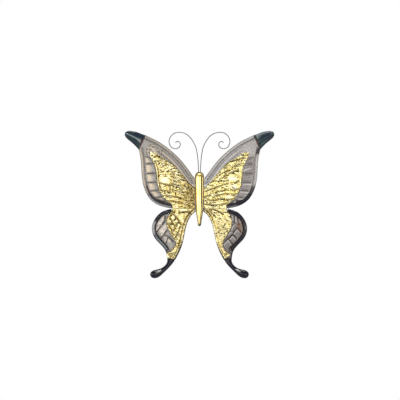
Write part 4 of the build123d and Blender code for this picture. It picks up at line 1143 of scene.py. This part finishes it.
# A streak of painted highlight on the left rim, which thins the dark dye under it.
painted_highlight = peak(edge - RIM_HIGHLIGHT_AT, RIM_HIGHLIGHT_WIDTH) * ease(-51.0, -56.0, v)
rim_masks = {
    "left": {"stain_and_shade": (1 - clear_stretch) * (1 - RIM_HIGHLIGHT_THINS * painted_highlight), "milk_and_highlight": painted_highlight},
    "right": {"stain_and_shade": ease(0.8, 0.0, edge) * 0.5, "milk_and_highlight": rim_glint},
}
for side in SIDES:
    rim = moulded_sheet(side, "hindwing_band", rim_fill, rim_bead, -rim_bead, rim_masks[side], HIND_SETBACK)
    finish_piece(rim, band_finish[side], f"{side}_hindwing_rim")
print("rim:", len(rim_fill[0]), "points")

# %% [markdown]
# The hindwing's gold runs from the joint line down to the tail. Its rays start at the root and sweep down
# along the inner edge. At the neck, where the bead rises, the gold climbs with it.

# %% Gold on the hindwings
HIND_ROOT = hind([(0.08, -0.03)])[0]
HIND_SEED = {"left": 21, "right": 22}
HIND_QUILT = {"left": 0.9, "right": 0.4}
NECK_TOP = -68.0
HIND_BITES, HIND_BORDER, HIND_ROOT_TONE = 0.4, 2.9, 0.3
HIND_GROOVES = {
    "left": [
        [(24.8, -29.5), (33.6, -37.5)], [(23.0, -35.0), (30.0, -43.4)], [(21.2, -40.0), (27.8, -51.0)],
        [(18.7, -44.0), (23.7, -56.0)], [(31.3, -34.0), (26.8, -40.0), (23.7, -46.0)],
        [(33.3, -40.0), (28.3, -47.0), (25.7, -54.0)], [(27.8, -31.0), (21.7, -37.0), (18.7, -42.0)],
        [(20.8, -30.8), (15.7, -29.7), (9.8, -29.5)],
    ],
    "right": [
        [(9.6, -27.4), (16.2, -28.0), (24.2, -32.1)], [(9.6, -29.5), (13.6, -32.0), (16.7, -35.0)],
        [(16.2, -51.7), (21.0, -48.5)], [(23.2, -44.8), (26.2, -42.3)], [(25.0, -51.4), (28.3, -47.7)],
        [(17.7, -61.0), (22.7, -69.0), (28.8, -77.0)],
    ],
}
for side in SIDES:
    outline = ragged(hind_gold[side], HIND_BITES, HIND_SEED[side])
    outline[-2:] = hind_gold_top
    filled = fill_outline(outline, FOIL_SPACING)
    flat = filled[0]
    u, v = flat.T
    grooves = [lath(line) for line in HIND_GROOVES[side]] + [inset(hind_inner, HIND_BORDER)]
    quilted = ease(-60.0, -50.0, v) * HIND_QUILT[side]
    height, dark = foil_heights(flat, outline[:-2], HIND_ROOT, side, HIND_SEED[side], grooves, quilted)
    on_neck = np.maximum(PANE_HALF, bead_height(distance_to(flat, hind_margin)))
    ground = np.where(v < NECK_TOP, on_neck, PANE_HALF)
    masks = {"stain_and_shade": np.clip(dark + HIND_ROOT_TONE * ease(20.0, 8.0, u), 0, 1)}
    base = ground - FOIL_SINK
    gold = moulded_sheet(side, "hindwing_gold", filled, ground + height, base, masks, HIND_SETBACK)
    finish_piece(gold, leaf, f"{side}_hindwing_gilding")
    print(gold.name, len(flat), "points")

# %% [markdown]
# The tails: a neck that ends in a drop, drawn out like pulled glass. They use the same rings as the tips,
# on a path that bends outwards, and are round, with no ridge. The first rings turn slowly from the cut end
# of the pane into the path.

# %% Hindwing tails
TAIL_WIDTH, TAIL_THICKNESS = 8.45, 5.2
TAIL_TURN = 4.0
TAIL_SHEEN = {"left": (-0.40, 0.06, 0.95, 0.46, 0.72), "right": (-0.35, 0.07, 0.95, 0.38, 0.63)}
TAIL_SECTIONS = [
    ((0.636, 0.790), 0.60, 0.80), ((0.712, 0.850), 0.54, 0.78), ((0.806, 0.897), 0.72, 0.90),
    ((0.905, 0.930), 0.97, 1.0), ((0.965, 0.941), 0.90, 0.92), ((1.010, 0.948), 0.58, 0.60),
    ((1.028, 0.951), 0.16, 0.18),
]
tail_across = hind_inner[0] - hind_margin[-1]
tail_cut = np.linalg.norm(tail_across)
tail_start = np.concatenate(((hind_inner[0] + hind_margin[-1]) / 2, [tail_cut, 2 * BEAD_HALF]))
tail_rest = [(*hind([p])[0], w * TAIL_WIDTH, h * TAIL_THICKNESS) for p, w, h in TAIL_SECTIONS]
tail_stations = lath(np.vstack((tail_start, tail_rest)), RING_STEP)
tail_turn = ease(0.0, TAIL_TURN, np.arange(len(tail_stations)) * RING_STEP)[:, None]
tail_sideways = to_right(np.gradient(tail_stations[:, :2], axis=0)) * tail_turn
tail_sideways += tail_across / tail_cut * (1 - tail_turn)
tail_sideways /= np.linalg.norm(tail_sideways, axis=1)[:, None]
for side in SIDES:
    sheen = TAIL_SHEEN[side]
    tail = horn(side, "hindwing_drop", tail_stations, tail_sideways, sheen, setback=HIND_SETBACK)
    finish_piece(tail, black, f"{side}_hindwing_tail")
print("tail:", len(tail_stations), "rings")

# %% [markdown]
# The antennae: stiff wire bent into a curl. Eight arcs follow on from each other, each turning more
# tightly, so a curve with a round bevel is all that it takes.

# %% Antennae
ANTENNA_RISE = 39.6
ANTENNA_OFFSET, ANTENNA_FOOT, ANTENNA_TOP = 1.0, 6.3, 10.2
WIRE_RADIUS = 0.42
ARC_STEPS = 16
BENDS = ((3.17, 9.2), (0.72, 34.2), (0.361, 50.1), (0.248, 71.9), (0.196, 59.5), (0.142, 91.1),
         (0.086, 101.3), (0.054, 99.2))


def antenna_line():
    """Points on the wire, from its foot in the head to the end of the curl."""
    points = [(ANTENNA_OFFSET, ANTENNA_FOOT), (ANTENNA_OFFSET, ANTENNA_TOP)]
    heading = math.pi / 2
    for share, turn in BENDS:
        radius = share * ANTENNA_RISE
        x, z = points[-1]
        centre = (x + radius * math.sin(heading), z - radius * math.cos(heading))
        for step in range(1, ARC_STEPS + 1):
            angle = heading - math.radians(turn) * step / ARC_STEPS
            points.append((centre[0] - radius * math.sin(angle), centre[1] + radius * math.cos(angle)))
        heading -= math.radians(turn)
    return points


points = antenna_line()
for side in SIDES:
    line = bpy.data.curves.new(f"{side}_feeler_wire", "CURVE")
    line.dimensions = "3D"
    line.bevel_depth = WIRE_RADIUS * MILLIMETRE
    line.bevel_resolution = 5
    line.use_fill_caps = True
    path = line.splines.new("POLY")
    path.points.add(len(points) - 1)
    for point, (x, z) in zip(path.points, points):
        point.co = (SIDES[side] * x * MILLIMETRE, -BODY_AXIS_DEPTH * MILLIMETRE, z * MILLIMETRE, 1)
    path.use_smooth = True
    wire = bpy.data.objects.new(f"{side}_feeler_wire", line)
    bpy.context.scene.collection.objects.link(wire)
    finish_piece(wire, steel_wire, f"{side}_antenna")
print("antenna:", len(points), "points")

# %% [markdown]
# The body and the clip keep their CAD shapes, which are right as they are, and only get finishes.

# %% Body and clip
CARRIED = {
    "body_front": gold_plate, "body_back": satin_gold, "clip_base": rolled_steel, "clip_lever": rolled_steel,
    "clip_pin": rolled_steel, "clip_screws": rolled_steel,
}
for node, finish in CARRIED.items():
    nodes[node].data.materials.clear()
    nodes[node].data.materials.append(finish)
print("carried over:", list(CARRIED))

# %% [markdown]
# The clip's spring twists when the clip opens: one leg stays on the base and the other follows the lever. A
# copy of its CAD mesh stands for it, with its place baked into its points and a steel wire finish.

# %% Spring
spring = bpy.data.objects.new("clip_coil", nodes["clip_spring"].data.copy())
bpy.context.scene.collection.objects.link(spring)
spring.data.materials.clear()
spring.data.materials.append(steel_wire)
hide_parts("clip_spring")
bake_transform(spring)
print("spring:", len(spring.data.vertices), "points")

# %% [markdown]
# The studio. The photograph shows the ornament on pure white with no ground in sight, so the floor lies
# well below it and the world is white where the camera, a reflection or a see-through pane looks at it. For
# all other light the world is dimmer, and soft lamps do the modelling.

# %% World and floor
FLOOR_DROP = 0.33
FLOOR_RADIUS = 0.5
AMBIENT = 0.55
world = bpy.data.worlds.new("white_studio")
bpy.context.scene.world = world
world.use_nodes = True
sky = world.node_tree
sky.nodes.clear()
rays = add(sky, "ShaderNodeLightPath").outputs
seen = calculate(sky, "MAXIMUM", rays["Is Camera Ray"], rays["Is Glossy Ray"])
seen = calculate(sky, "MAXIMUM", seen, rays["Is Transmission Ray"])
level = remap(sky, seen, 0.0, 1.0, AMBIENT, 1.0)
light = add(sky, "ShaderNodeBackground", {"Color": (1, 1, 1, 1), "Strength": level})
add(sky, "ShaderNodeOutputWorld", {"Surface": light.outputs[0]})


def matte(name, pale, deep, scale, constants):
    """A dull material with a clouded grey."""
    material, tree, shader = new_material(name)
    greys = {"Pale": (pale, pale, pale, 1), "Deep": (deep, deep, deep, 1), "Scale": scale}
    feed(tree, shader, {**constants, "Base Color": place_group(tree, tint, greys)["Color"]})
    return material


paper = matte("pale_paper", 0.86, 0.82, 30.0, {"Roughness": 0.9})
middle = (0, 0, -FLOOR_DROP)
bpy.ops.mesh.primitive_circle_add(vertices=96, radius=FLOOR_RADIUS, fill_type="NGON", location=middle)
floor = bpy.context.object
floor.name = "pale_floor"
floor.data.materials.append(paper)
print("floor at", -FLOOR_DROP)

# %% [markdown]
# Polished metal only looks like metal when it has something dark to reflect, and clear plastic only shows
# its relief when its slopes bend the view on to something dark. A studio uses black cards for both: some
# stand beside the camera, where only reflections see them, and a frame of them stands behind the ornament,
# where the light that comes through the panes sees them too.

# %% Black cards
card_black = matte("card_black", 0.03, 0.02, 5.0, {"Roughness": 1.0, "Specular IOR Level": 0.0})


def studio_card(name, place, size, behind=False):
    """A black card that shows only in reflections, and when it stands behind, through the panes as well."""
    bpy.ops.mesh.primitive_grid_add(x_subdivisions=2, y_subdivisions=2, size=1, location=place)
    card = bpy.context.object
    card.name = name
    card.scale = (*size, 1)
    turn = Vector((0, 1, 0)) if behind else Vector(place)
    card.rotation_euler = turn.to_track_quat("Z", "Y").to_euler()
    card.data.materials.append(card_black)
    card.visible_camera = card.visible_diffuse = card.visible_shadow = False
    card.visible_transmission = behind


studio_card("right_card", (0.52, -0.335, 0.0), (0.38, 0.7))
studio_card("low_card", (0.0, -0.42, -0.40), (1.2, 0.42))
studio_card("high_card", (0.0, -0.95, 0.56), (2.4, 0.76))
studio_card("rear_card", (0.0, 0.15, 0.50), (0.8, 0.36))
studio_card("left_frame", (-0.60, 0.6, 0.0), (0.84, 1.6), behind=True)
studio_card("right_frame", (0.60, 0.6, 0.0), (0.84, 1.6), behind=True)
studio_card("upper_frame", (0.0, 0.61, 0.50), (0.5, 0.68), behind=True)
studio_card("lower_frame", (0.0, 0.61, -0.54), (0.5, 0.68), behind=True)

# %% [markdown]
# The lamps. A wide softbox at the front left is the key, and a smaller one beside the camera lights the
# facets that lean to the right. Together they draw the broad stripe on the body. A narrow strip far to the
# right draws the body's second, thinner stripe. Two lamps from above light the upper slopes, and one of
# them shows only in reflections, so that it adds glints without washing out the dye.

# %% Lamps


def soft_lamp(name, place, size, power, glints_only=False):
    """An area lamp that faces the ornament. One for glints only shows in reflections."""
    lamp = bpy.data.lights.new(name, "AREA")
    lamp.shape = "RECTANGLE"
    lamp.size, lamp.size_y = size
    lamp.energy = power
    rig = bpy.data.objects.new(name, lamp)
    rig.location = place
    rig.rotation_euler = Vector(place).to_track_quat("Z", "Y").to_euler()
    rig.visible_diffuse = rig.visible_transmission = not glints_only
    bpy.context.scene.collection.objects.link(rig)


soft_lamp("key_softbox", (-0.90, -0.935, -0.16), (1.55, 0.85), 7.2)
soft_lamp("front_softbox", (0.385, -1.24, -0.16), (0.64, 0.85), 2.67)
soft_lamp("right_strip", (0.95, -0.10, 0.1), (0.24, 0.7), 1.5)
soft_lamp("top_softbox", (0.0, -0.5, 1.0), (0.6, 0.12), 3.0)
soft_lamp("glint_lamp", (0.05, -0.52, 0.95), (0.5, 0.14), 5.0, glints_only=True)

# %% [markdown]
# The camera looks straight at the front, from far off, so near and far parts keep their sizes as they do in
# the photograph. The lens and the distance make the picture 0.4 m wide at the ornament.

# %% Camera
PICTURE_WIDTH = 0.4
AIM = Vector((0.0005, -0.010, -0.018))
LENS, SENSOR = 200.0, 36.0
camera = bpy.data.objects.new("front_camera", bpy.data.cameras.new("front_camera"))
camera.data.lens, camera.data.sensor_width = LENS, SENSOR
camera.location = AIM - Vector((0, PICTURE_WIDTH * LENS / SENSOR, 0))
camera.rotation_euler = (math.pi / 2, 0, 0)
bpy.context.scene.collection.objects.link(camera)
bpy.context.scene.camera = camera
bpy.context.scene.view_settings.view_transform = "Standard"
print("camera at", [round(c, 3) for c in camera.location])
